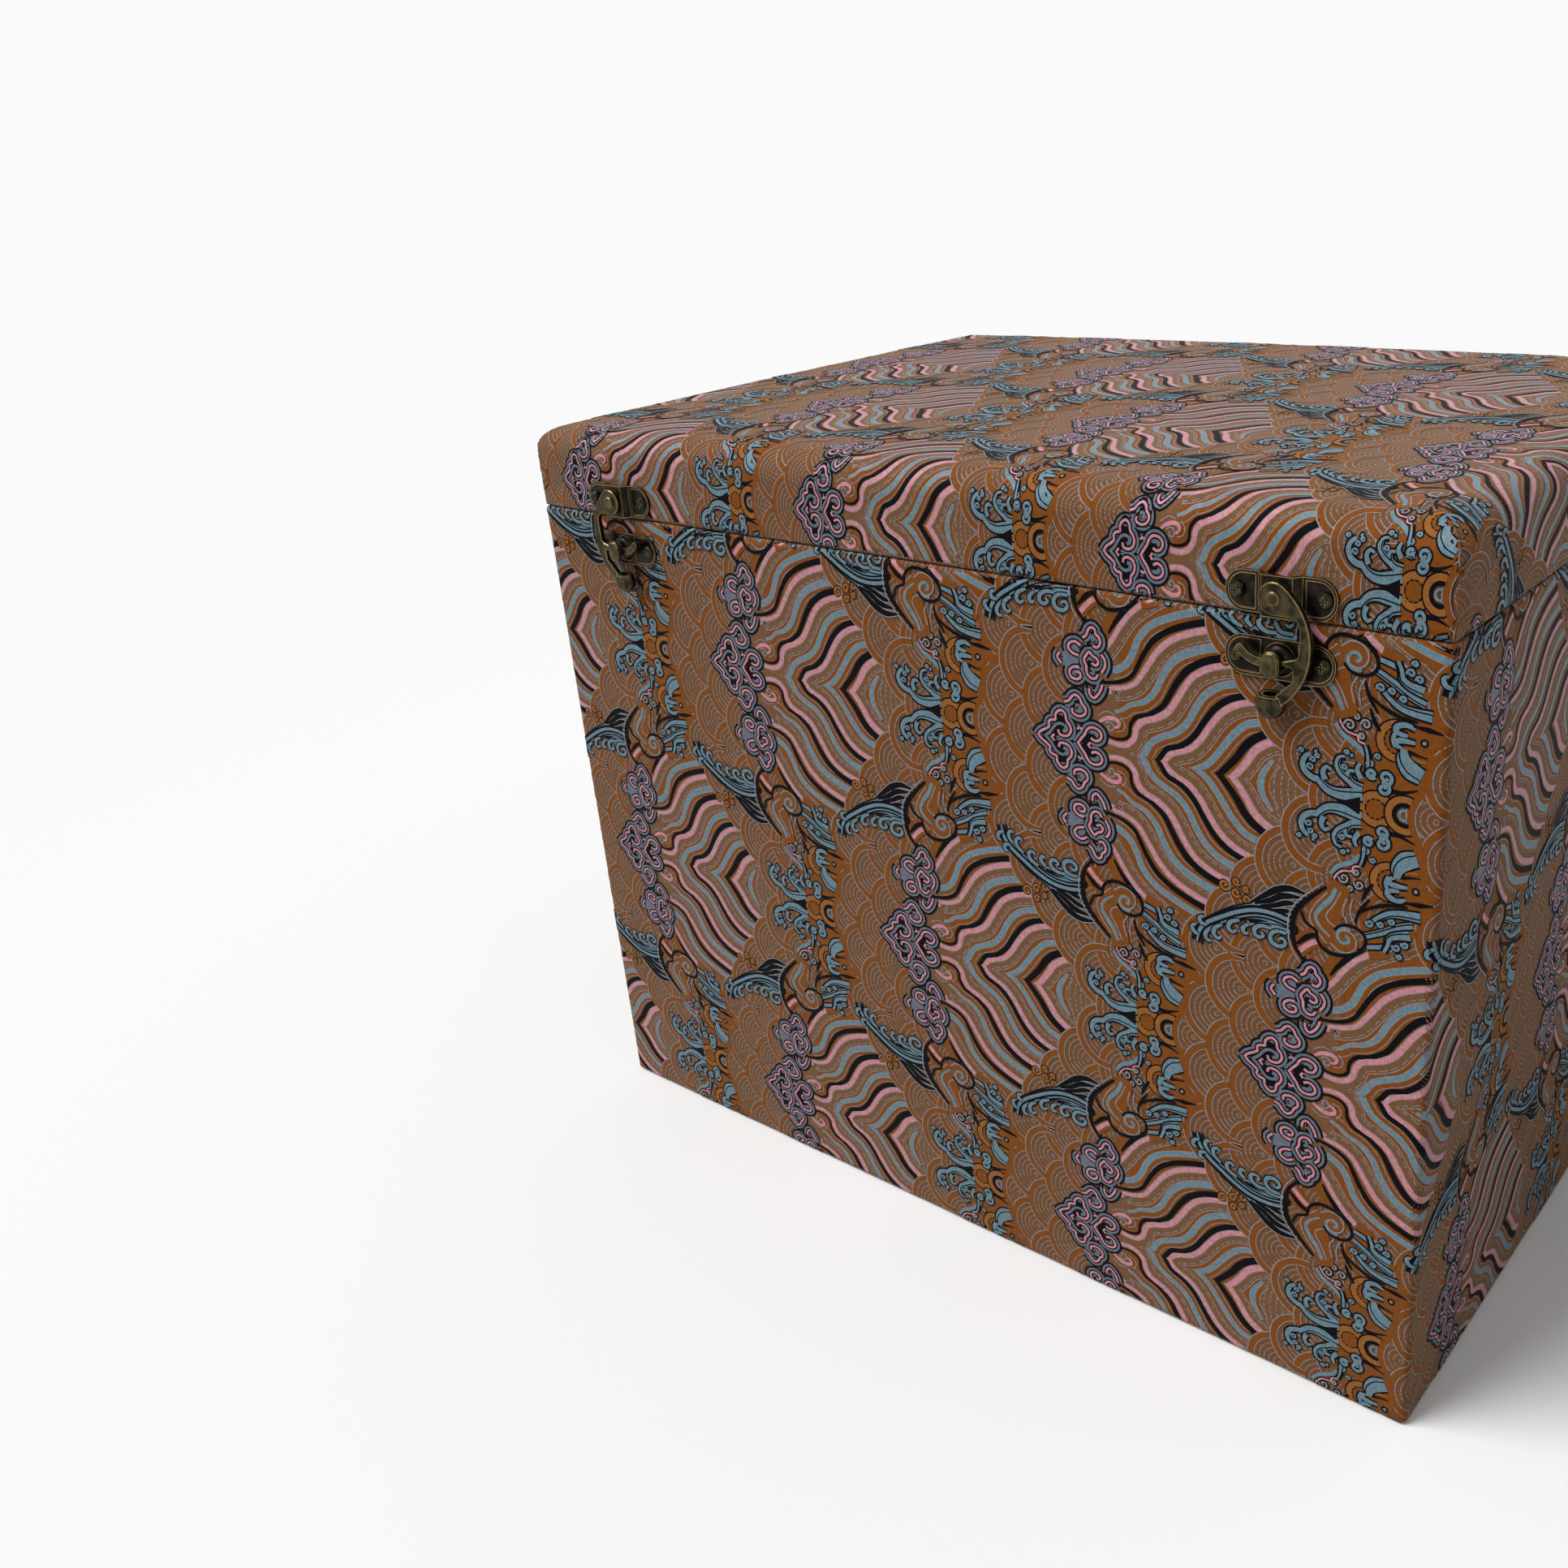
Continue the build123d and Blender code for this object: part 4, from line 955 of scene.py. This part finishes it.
# %% Repeats
def half_repeat(thread, layers):
    """Points, lifts and faces of one thread's strokes in these layers of the drawn half repeat."""
    points, lifts, faces, start = [], [], [], 0
    for name, layer, grid, cells, lift in strokes:
        if name == thread and layers[0] <= layer < layers[1] and len(cells):
            points.append(grid)
            lifts.append(lift)
            faces.append(cells + start)
            start += len(grid)
    return np.vstack(points), np.concatenate(lifts), np.vstack(faces)


def laid_out(thread, layers, place, phase, stretch, span_u, span_v):
    """All copies of a thread's strokes within a span of cloth. A copy at row r and column c is moved
    by c repeats plus half a repeat for each row, and its mirror image has v turned about the axis."""
    points, lifts, faces = half_repeat(thread, layers)
    length, rise = repeat_length * stretch[0], repeat_rise * stretch[1]
    rows = range(math.floor((span_v[0] - phase[1]) / rise) - 1, math.ceil((span_v[1] - phase[1]) / rise) + 2)
    all_points, all_faces, all_cloth, start = [], [], [], 0
    for row in rows:
        shift = phase[0] + (row % 2) * length / 2
        first = math.floor((span_u[0] - shift) / length) - 1
        last = math.ceil((span_u[1] - shift) / length) + 1
        for column in range(first, last + 1):
            for side in (1, -1):
                u = points[:, 0] * stretch[0] + shift + column * length
                v = side * points[:, 1] * stretch[1] + phase[1] + row * rise
                near = (u >= span_u[0]) & (u <= span_u[1]) & (v >= span_v[0]) & (v <= span_v[1])
                if not near.any():
                    continue
                xyz, valid = place(u, v, lifts)
                cells = faces[(near & valid)[faces].all(axis=1)]
                used, compact = np.unique(cells, return_inverse=True)
                cells = compact.reshape(cells.shape) + start
                all_points.append(xyz[used])
                all_cloth.append(np.column_stack([u, v])[used])
                all_faces.append(cells if side > 0 else cells[:, ::-1])
                start += len(used)
    return np.vstack(all_points), np.vstack(all_faces), np.vstack(all_cloth)


body_phase, body_stretch = (-8.0, 96.6), (1.0, 1.0)
lid_phase, lid_stretch = (22.0, -48.0), (0.832, 1.0)
body_span_u = (-wall_half - 2 * side_half, 3 * wall_half + 2 * side_half)
body_span_v = (-body_zero, body_path[0][-1] - body_zero)
lid_span_u = (-flat_x - lid_end, flat_x + lid_end)
lid_span_v = (-flat_y - lid_end, flat_y + lid_end)

# %% [markdown]
# ## Thread and ground finishes
# The blue, pink and grey threads are silk with a little gloss, and the warm and the black ones are
# duller, so the pattern keeps its contrast at a flat angle. All lie in fine upright ribs: a wave across
# u gives them, both as a bump and as a change of brightness, which paints shade into the grooves and
# light onto the crests. Noise adds an uneven tone to the threads. The ground cloth has the fish-scale
# waves woven in, which a formula gives at every point: the topmost round scale that covers it, and how
# far the point is from its rim.

# %% Thread finishes
thread_colours = {
    "black": seen(17, 17, 22),
    "blue": seen(104, 134, 148),
    "slate": seen(98, 108, 124),
    "pink": seen(208, 140, 150),
    "grey": seen(142, 138, 142),
    "rust": seen(134, 76, 26),
    "satin": seen(126, 88, 60),
    "ochre": seen(158, 100, 46),
}
rib_pitch = 0.44


def weave(tree, shader, colour, rib_shade_and_tone=0.25, gloss=0.04, sheen=0.1):
    """Ribs at an even pitch across u, broken by noise, as bump and as a change of brightness. The
    brightness paints shade into the grooves and light onto the crests, and the noise gives the
    threads an uneven tone.
    """
    u, v = cloth_millimetres(tree)
    noise = noise_at(tree, cloth_place(tree), 900.0, 2.0)
    ribs = calc(tree, "SINE", u * (2 * math.pi / rib_pitch) + noise * 1.2)
    add_bump(tree, shader, ribs * 0.35 + noise, 0.55, 0.12)
    # Painted shade and light: the rib part darkens the grooves and lightens the crests; the noise part is
    # uneven thread tone
    tone = ribs * (rib_shade_and_tone * 0.5) + (noise - 0.5) * (rib_shade_and_tone * 2.2)
    shade = tree.nodes.new("ShaderNodeHueSaturation")
    fill(tree, shade, {"Value": tone + 1.0, "Color": colour})
    fill(tree, shader, {
        "Base Color": shade.outputs["Color"],
        "Roughness": 0.55,
        "Specular IOR Level": gloss,
        "Sheen Weight": sheen,
        "Sheen Tint": (0.9, 1.0, 0.7, 1.0),
    })


thread_materials = {}
for thread, colour in thread_colours.items():
    material, tree, shader = new_material(thread + " thread", "brocade")
    if thread == "black":
        weave(tree, shader, colour, 0.15, 0.03, 0.0)
    elif thread in ("blue", "slate", "pink", "grey"):
        # The silk threads get the strongest painted shade in their rib grooves and painted light on the
        # crests
        weave(tree, shader, colour, 0.5, 0.45, 0.0)
    else:
        weave(tree, shader, colour, 0.3)
    thread_materials[thread] = material
print("threads", list(thread_materials))

# %% [markdown]
# ### The fish-scale waves
# The ground between the motifs is filled with fish-scale waves, thousands of fine arcs. As ribbons
# they would need millions of faces. They repeat exactly, so a formula in the shader can draw them: it
# finds the column of scales that a point lies in, and how deep it lies inside the topmost scale.

# %% Ground cloth
# Millimetres of the repeat: where its cell begins, between which places the left scales' columns count,
# the plain band along a scale's rim, the pitch and width of the fine lines inside, and the grey rim
cell_start = 16.0
left_scales = (36.0, 77.0)
band_width = 2.1
line_pitch, line_width = 1.45, 0.34
grey_rim = 0.32


def scale_depth(tree, x, y, zero):
    """How deep a point lies inside the topmost round scale over it. Scales stand in columns one pitch
    apart, every other column half a rise higher, and a column further right lies over the last."""
    column = (x - zero) / scale_pitch
    whole = calc(tree, "FLOOR", column)
    odd = whole % 2.0
    into = (column - whole) * scale_pitch
    depths = []
    for step, parity in ((0, odd), (1, 1.0 - odd)):
        moved = y + parity * (scale_rise / 2)
        off = (moved + scale_rise / 2) % scale_rise - scale_rise / 2
        from_centre = into + (step * scale_pitch - scale_radius)
        depths.append(scale_radius - calc(tree, "SQRT", from_centre * from_centre + off * off))
    covers = depths[0] > 0.0
    return covers * depths[0] + (1.0 - covers) * depths[1]


def ground_material(name, phase, stretch):
    """The ground cloth's finish, with its scales in step with the repeat."""
    material, tree, shader = new_material(name, "brocade")
    u, v = cloth_millimetres(tree)
    along, up = (u - phase[0]) / stretch[0], (v - phase[1]) / stretch[1]
    row = calc(tree, "FLOOR", up / repeat_rise + 0.5)
    y = up - row * repeat_rise
    x = (along - row * (repeat_length / 2) + cell_start) % repeat_length - cell_start
    left = (x > left_scales[0]) * (x < left_scales[1])
    depth = scale_depth(tree, x, y, left * (scale_left_zero - scale_right_zero) + scale_right_zero)
    inner = depth > band_width
    line = (depth - band_width) % line_pitch < line_width
    dash = calc(tree, "SINE", (u + v) * 6.3) > -0.35
    colour = blend_colours(tree, inner, thread_colours["rust"], seen(120, 80, 50))
    colour = blend_colours(tree, line * dash * inner, colour, seen(152, 142, 142))
    colour = blend_colours(tree, depth < grey_rim, colour, thread_colours["grey"])
    weave(tree, shader, colour)
    return material


body_ground = ground_material("case brocade", body_phase, body_stretch)
lid_ground = ground_material("lid brocade", lid_phase, lid_stretch)
print("finishes", len(bpy.data.materials))

# %% [markdown]
# ## The cloth panels
# The ground cloth is one panel a wall and one for the lid's top. Each is a grid over u and v sent
# through the same wrapping function, so the panels meet exactly where the fold lies.


# %% Panels
def fine_steps(low, high, step, extra=()):
    """Even steps between two values, with some extra values worked in."""
    even = np.linspace(low, high, max(2, int(round((high - low) / step)) + 1))
    return np.unique(np.concatenate([even, np.ravel(extra)]).round(6))


panel_step, strip_step = 5, 4


def wall_panel(name, wall, material):
    """One wall of the case with its turned-in rim and base: u is a share of the width left at that
    inset, so that rows on the rim and base end at the mitre."""
    half = wall_halves[wall]
    wall_v = body_path[0] - body_zero
    v = fine_steps(body_low[2] + 2, body_high[2] - 2, panel_step, wall_v)
    inset = look_up(body_path, v + body_zero)[0]
    most = along_wall(0.0, half, inset)[3]
    end = along_wall(0.0, half, 0.0)[3]
    arc = np.linspace(half - corner_radius, end, 5)
    share = fine_steps(corner_radius - half, half - corner_radius, panel_step, [arc, -arc]) / end
    u = most[:, None] * share[None, :] * (1 - 1e-7) + wall_middles[wall]
    v_grid = np.broadcast_to(v[:, None], u.shape)
    points, _ = body_point(u.ravel(), v_grid.ravel(), np.zeros(u.size))
    cloth = np.column_stack([u.ravel(), v_grid.ravel()])
    return new_piece(name, points, grid_faces(len(v), len(share)), material, cloth, "case")


for wall, side in enumerate(("left", "front", "right", "back")):
    wall_panel(side + "_wall_cloth", wall, body_ground)
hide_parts("body_brocade")

share_x = fine_steps(-1, 1, panel_step / flat_x)
share_y = fine_steps(-1, 1, panel_step / flat_y)


def lid_strip(name, across, sign, material):
    """One side of the lid from its rounded top edge to the flap inside. The strip's length at each
    inset is the mitre's, shared out evenly."""
    beyond = fine_steps(0, lid_end, strip_step, lid_end - lid_path[0])
    inset = look_up(lid_path, lid_end - beyond)[0]
    half, flat, share = (half_width, flat_y, share_x) if across == "x" else (half_depth, flat_x, share_y)
    most = along_wall(0.0, half, inset)[3]
    reach = sign * (flat + np.maximum(beyond, 1e-5))
    order = slice(None, None, -1) if sign < 0 else slice(None)
    along = (most[:, None] * share[None, :])[order]
    over = np.broadcast_to(reach[:, None], along.shape)[order]
    u, v = (along, over) if across == "x" else (over, along)
    faces = grid_faces(*u.shape) if across == "x" else grid_faces(*u.shape)[:, ::-1]
    points, _ = lid_point(u.ravel(), v.ravel(), np.zeros(u.size))
    return new_piece(name, points, faces, material, np.column_stack([u.ravel(), v.ravel()]), "lid")


for name, across, sign in (("front", "x", -1), ("back", "x", 1), ("left", "y", -1), ("right", "y", 1)):
    lid_strip("lid_" + name + "_cloth", across, sign, lid_ground)
top_u, top_v = np.meshgrid(flat_x * share_x, flat_y * share_y)
top_points, _ = lid_point(top_u.ravel(), top_v.ravel(), np.zeros(top_u.size))
lid_top = new_piece("lid_top_cloth", top_points, grid_faces(*top_u.shape), lid_ground,
                    np.column_stack([top_u.ravel(), top_v.ravel()]), "lid")
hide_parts("lid_brocade")

# %% [markdown]
# ## Laying the threads
# Each thread's strokes are now wrapped round the case and over the lid, as one mesh for each colour.
# Black has too many lines for one mesh, so its layers are shared out over three.

# %% Threads
thread_parts = [
    ("black_low", "black", (0, 12)),
    ("black_middle", "black", (12, 16)),
    ("black_high", "black", (16, 99)),
]
thread_parts += [(thread, thread, (0, 99)) for thread in thread_colours if thread != "black"]
for part, thread, layers in thread_parts:
    for body, place, phase, stretch, span_u, span_v in (
        ("case", body_point, body_phase, body_stretch, body_span_u, body_span_v),
        ("lid", lid_point, lid_phase, lid_stretch, lid_span_u, lid_span_v),
    ):
        points, faces, cloth = laid_out(thread, layers, place, phase, stretch, span_u, span_v)
        name = body + "_" + part + "_threads"
        piece = new_piece(name, points, faces, thread_materials[thread], cloth, body)
        print(name, 2 * len(faces), "triangles")

# %% [markdown]
# ## Metal
# The latches are steel plated in antique bronze: nearly black where the plating lies flat, with brassy
# edges where it has rubbed off. A Bevel node rounds the shading normal near edges. Where the rounded
# and the true normal differ, there is an edge, and this share mixes a light brass over the dark
# plating. That brass is the rubbed-off wear and also a painted highlight, the same along every edge.
# Noise makes the wear uneven.


# %% Bronze finishes
def edge_share(tree, radius, samples):
    """1 on sharp edges and 0 on flats: one minus the dot product of rounded and true normals."""
    rounded = tree.nodes.new("ShaderNodeBevel")
    rounded.samples = samples
    rounded.inputs["Radius"].default_value = radius * MM
    true = tree.nodes.new("ShaderNodeNewGeometry")
    dot = tree.nodes.new("ShaderNodeVectorMath")
    dot.operation = "DOT_PRODUCT"
    fill(tree, dot, {0: rounded.outputs[0], 1: true.outputs["Normal"]})
    return 1.0 - Number(tree, dot.outputs["Value"])


def object_noise(tree, scale, detail):
    """Noise on the object's own coordinates."""
    return noise_at(tree, object_place(tree), scale, detail)


def bronze(name, dark, worn_and_highlit, flat_wear, radius):
    """Antique bronze: dark plating, brass on its edges that is both wear and a painted highlight, and a
    little brass everywhere by flat_wear.
    """
    material, tree, shader = new_material(name, "antique_bronze")
    # Edge mask: the brass it lays on is rubbed-off wear and also a painted highlight on every edge
    edges = soft_step(tree, edge_share(tree, radius, 6), 0.07, 0.12)
    patch = soft_step(tree, object_noise(tree, 420, 4), 0.52, 0.3)
    fine = object_noise(tree, 3500, 2)
    share = calc(tree, "ADD", edges * (fine * 0.6 + 0.55), patch * flat_wear, clamp=True)
    tone = blend_colours(tree, share, seen(*dark), seen(*worn_and_highlit))
    fill(tree, shader, {"Base Color": tone, "Metallic": 0.85, "Roughness": fine * 0.18 + 0.22})
    add_bump(tree, shader, fine, 0.25, 0.04)
    return material


def mottled(name, slot, waves, detail, dark, light, roughness, metallic=0.0):
    """A plain finish between two tones, mixed by noise."""
    material, tree, shader = new_material(name, slot)
    tone = blend_colours(tree, object_noise(tree, waves, detail), seen(*dark), seen(*light))
    fill(tree, shader, {"Base Color": tone, "Roughness": roughness, "Metallic": metallic})
    return material


# The light brass on the edges of these finishes is wear and also a painted highlight
dark_plate = bronze("dark bronze plate", (17, 16, 15), (184, 156, 100), 0.04, 0.45)
hook_bronze = bronze("worn bronze hook", (33, 29, 19), (216, 186, 122), 0.08, 0.4)
stud_bronze = bronze("rubbed bronze stud", (54, 47, 31), (188, 162, 108), 0.16, 0.3)
screw_bronze = bronze("bronze screw", (26, 24, 20), (172, 152, 110), 0.08, 0.2)
steel = mottled("spring steel", "spring_steel", 900, 3, (120, 120, 122), (160, 160, 160), 0.35, 1.0)


def finish(material, *endings):
    """Gives a finish to every CAD node whose name ends with one of these."""
    for name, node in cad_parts.items():
        if name.endswith(endings):
            node.data.materials.clear()
            node.data.materials.append(material)


finish(dark_plate, "_latch_plate", "_strike_plate", "_lower_leaf", "_upper_leaf")
finish(hook_bronze, "_hook")
finish(stud_bronze, "_latch_rivet", "_catch_post", "_catch_lever", "_hinge_pin")
finish(screw_bronze, "_screws")
finish(steel, "_catch_washer")
print("with metal", len(bpy.data.materials), "finishes")

# %% [markdown]
# ## Board, felt and base paper
# The walls are fibreboard, which shows only where no cloth covers it. The sheet under the box is dark
# paper with a faint grain.

# %% Board, felt and paper
board = mottled("fibreboard", "board", 700, 6, (150, 118, 84), (190, 160, 122), 0.85)
paper = mottled("base paper", "base_paper", 2500, 5, (34, 28, 26), (58, 48, 42), 0.8)
felt = mottled("felt", "wadding", 1500, 6, (205, 200, 190), (228, 224, 216), 0.95)
finish(board, "_board")
finish(paper, "base_sheet")
finish(felt, "_wadding")
print("with board, paper and felt", len(bpy.data.materials), "finishes")

# %% [markdown]
# ## Satin lining and cushions
# The inside is lined with golden satin: thin card covered in satin on the walls, and soft pads on the
# floor and in the lid. Satin shines along its threads, so its noise is drawn out in one direction, and
# the shader's own anisotropy turns the glints the same way.

# %% Satin
satin, satin_tree, satin_shader = new_material("golden satin", "lining_satin")
satin_stretch = satin_tree.nodes.new("ShaderNodeMapping")
fill(satin_tree, satin_stretch, {"Scale": (3600, 420, 420), "Vector": object_place(satin_tree)})
satin_threads = noise_at(satin_tree, satin_stretch.outputs["Vector"], 1.0, 2.0)
add_bump(satin_tree, satin_shader, satin_threads, 0.4, 0.08)
satin_share = object_noise(satin_tree, 40, 3)
fill(satin_tree, satin_shader, {
    "Base Color": blend_colours(satin_tree, satin_share, seen(188, 139, 60), seen(205, 158, 79)),
    "Roughness": 0.34,
    "Sheen Weight": 0.3,
    "Anisotropic": 0.5,
})


# %% [markdown]
# ### Pads
# A pad is one closed form. Its face rises from the border in a quarter of an ellipse and swells
# towards the middle, its sides pull in a little between the corners, and small folds run in from the
# seam. A cloth simulation would give folds too, but a formula fits the box and never cuts into it.


# %% Pads
def pad(name, node, face, edge, thick, pull, crown, wrinkle, body):
    """A closed pad in a node's box. It is flat on one side and domed towards the direction face. Its
    height is the thickness times a quarter ellipse of the distance to the border, plus a crown that
    is the product of two cosines, less wrinkles that fade away from the border. The sides pull in by
    the pull times one minus the square of the share along the side."""
    low, high = (np.array(c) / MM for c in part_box(node))
    axis = int(np.argmax(np.abs(face)))
    sign = float(np.sign(face[axis]))
    across = [k for k in range(3) if k != axis]
    half = (high - low)[across] / 2
    middle = (high + low)[across] / 2
    rise = edge * (1 - np.cos(np.linspace(0, math.pi / 2, 7)))
    lines = []
    for h in half:
        between = np.linspace(edge - h, h - edge, int(h / 3) + 2)
        lines.append(np.unique(np.concatenate([rise - h, between, h - rise]).round(5)))
    s, t = np.meshgrid(*lines, indexing="ij")
    share_s, share_t = s / half[0], t / half[1]
    border = np.minimum(half[0] - np.abs(s), half[1] - np.abs(t))
    lift = np.sqrt(1 - (1 - np.clip(border / edge, 0, 1)) ** 2)
    swell = np.cos(share_s * math.pi / 2) * np.cos(share_t * math.pi / 2)
    folds = np.sin(np.arctan2(t, s) * 46) * np.exp(-((border - edge) / (2.2 * edge)) ** 2)
    folds = folds + 0.6 * np.sin(s / 7.3 + 1.7 * np.sin(t / 11.0)) * np.exp(-(border / (5 * edge)) ** 2)
    height = lift * (thick - crown) + crown * swell + wrinkle * lift * (folds - 1)
    place_s = middle[0] + s - pull * share_s * (1 - share_t**2) * np.abs(share_s)
    place_t = middle[1] + t - pull * share_t * (1 - share_s**2) * np.abs(share_t)
    base = low[axis] if sign > 0 else high[axis]
    front = np.empty((s.size, 3))
    front[:, across[0]], front[:, across[1]] = place_s.ravel(), place_t.ravel()
    front[:, axis] = base + sign * height.ravel()
    # The flat side shares the border's points with the domed side
    inner = np.zeros(s.shape, bool)
    inner[1:-1, 1:-1] = True
    back = front[inner.ravel()]
    back[:, axis] = base
    back_number = np.arange(s.size)
    back_number[inner.ravel()] = s.size + np.arange(inner.sum())
    faces = grid_faces(*s.shape)
    if (axis == 1) != (sign > 0):
        faces = faces[:, ::-1]
    all_faces = np.vstack([faces, back_number[faces[:, ::-1]]])
    piece = new_piece(name, np.vstack([front, back]), all_faces, satin, None, body)
    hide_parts(node)
    print(name, len(piece.data.polygons), "faces")
    return piece


for side, face in (("front", (0, 1, 0)), ("back", (0, -1, 0)), ("left", (1, 0, 0)), ("right", (-1, 0, 0))):
    pad(side + "_satin", side + "_lining", face, 1.9, 2.0, 0.0, 0.1, 0.03, "case")
pad("floor_pad", "floor_cushion", (0, 0, 1), 8.0, 8.9, 1.6, 1.8, 0.5, "case")
pad("lid_pad", "lid_cushion", (0, 0, -1), 4.5, 3.9, 1.2, 0.8, 0.26, "lid")

# %% [markdown]
# The lid's inner rim is faced with a strip of the same satin. It is a thin rounded profile carried
# round a rectangle, with a mitre at each corner.

# %% Lid strip
strip_low, strip_high = (np.array(c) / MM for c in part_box("lid_lining_strip"))
strip_thick = 1.2
profile_steps, side_steps = 24, 40
ring_steps = 4 * side_steps
turn = np.linspace(0, 2 * math.pi, profile_steps, endpoint=False)
rounded_square = [np.sign(wave) * np.abs(wave) ** 0.35 for wave in (np.cos(turn), np.sin(turn))]
strip_inset = strip_thick / 2 * (1 + rounded_square[0])
strip_height = (strip_low[2] + strip_high[2]) / 2 + (strip_high[2] - strip_low[2]) / 2 * rounded_square[1]
share, one = np.linspace(-1, 1, side_steps + 1)[:-1], np.ones(side_steps)
ring_x = np.concatenate([share, one, -share, -one])
ring_y = np.concatenate([-one, share, one, -share])
ring_points = np.stack([
    ring_x[:, None] * (strip_high[0] - strip_inset),
    ring_y[:, None] * (strip_high[1] - strip_inset),
    np.broadcast_to(strip_height, (ring_steps, profile_steps)),
], axis=-1).reshape(-1, 3)
i, j = np.meshgrid(np.arange(ring_steps), np.arange(profile_steps), indexing="ij")
here, following, up = i * profile_steps, (i + 1) % ring_steps * profile_steps, (j + 1) % profile_steps
ring_faces = np.stack([here + j, here + up, following + up, following + j], axis=-1).reshape(-1, 4)
lid_strip_piece = new_piece("lid_satin_strip", ring_points, ring_faces, satin, None, "lid")
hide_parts("lid_lining_strip")
print("strip", len(ring_faces), "faces")

# %% [markdown]
# ## Stage and light
# The photograph was taken in soft daylight from the front left and then cut out onto white. A wide sun
# gives the same direction without a hard shadow, and the world fills in from all sides. The camera,
# and anything that mirrors the room, sees plain white around the object.

# %% Floor
white = 0.956
sky_strength = 0.36
floor_size = 60000.0


def seen_directly(tree, *kinds):
    """1 for rays of any of these kinds and 0 for the others, the largest of their numbers."""
    rays = tree.nodes.new("ShaderNodeLightPath")
    share = rays.outputs[kinds[0]]
    for kind in kinds[1:]:
        share = calc(tree, "MAXIMUM", share, rays.outputs[kind])
    return share


floor_material, floor_tree, floor_shader = new_material("floor", "stage")
floor_seen = seen_directly(floor_tree, "Is Camera Ray", "Is Glossy Ray")
floor_tone = blend_colours(floor_tree, floor_seen, seen(170, 168, 165), (0.98, 0.98, 0.98, 1.0))
fill(floor_tree, floor_shader, {"Base Color": floor_tone, "Roughness": 1.0, "Specular IOR Level": 0.0})
# Further out the floor turns into the same plain white as the backdrop, so no horizon shows
floor_reach = floor_tree.nodes.new("ShaderNodeVectorMath")
floor_reach.operation = "LENGTH"
link(floor_tree, object_place(floor_tree), floor_reach.inputs[0])
floor_far = soft_step(floor_tree, floor_reach.outputs["Value"], 0.5, 0.5)
floor_glow = floor_tree.nodes.new("ShaderNodeEmission")
floor_glow.inputs["Strength"].default_value = white
floor_blend = floor_tree.nodes.new("ShaderNodeMixShader")
mixed = {0: floor_far * floor_seen, 1: floor_shader.outputs[0], 2: floor_glow.outputs[0]}
fill(floor_tree, floor_blend, mixed)
link(floor_tree, floor_blend.outputs[0], floor_tree.nodes["Material Output"].inputs["Surface"])
floor_points = np.array([(-1, -1, 0), (1, -1, 0), (1, 1, 0), (-1, 1, 0)], float) * floor_size
floor = new_piece("floor", floor_points, np.array([[0, 1, 2, 3]]), floor_material)
print("floor", 2 * floor_size * MM, "m wide")

# %% Room
world = bpy.data.worlds.new("soft room")
bpy.context.scene.world = world
world.use_nodes = True
room_tree = world.node_tree
room_seen = seen_directly(room_tree, "Is Camera Ray", "Is Glossy Ray", "Is Transmission Ray")
room_strength = room_seen * (white - sky_strength) + sky_strength
fill(room_tree, room_tree.nodes["Background"], {"Color": (1, 1, 1, 1), "Strength": room_strength})
print("room", sky_strength, "for the object and", white, "for the eye")


# %% Window
def wide_sun(name, towards, strength, degrees):
    """A sun that shines from the direction towards, with this angle across."""
    light = bpy.data.lights.new(name, "SUN")
    light.energy = strength
    light.angle = math.radians(degrees)
    lamp = bpy.data.objects.new(name, light)
    bpy.context.scene.collection.objects.link(lamp)
    back = np.array(towards, float) / np.linalg.norm(towards)
    right = np.cross((0, 0, 1), back)
    right = right / np.linalg.norm(right)
    matrix = np.eye(4)
    matrix[:3, :3] = np.column_stack([right, np.cross(back, right), back])
    lamp.matrix_world = Matrix(matrix.tolist())


wide_sun("window", (-0.5, -0.52, 0.95), 2.5, 35)
bpy.context.scene.view_settings.view_transform = "Standard"
print("lamps", len(bpy.data.lights))
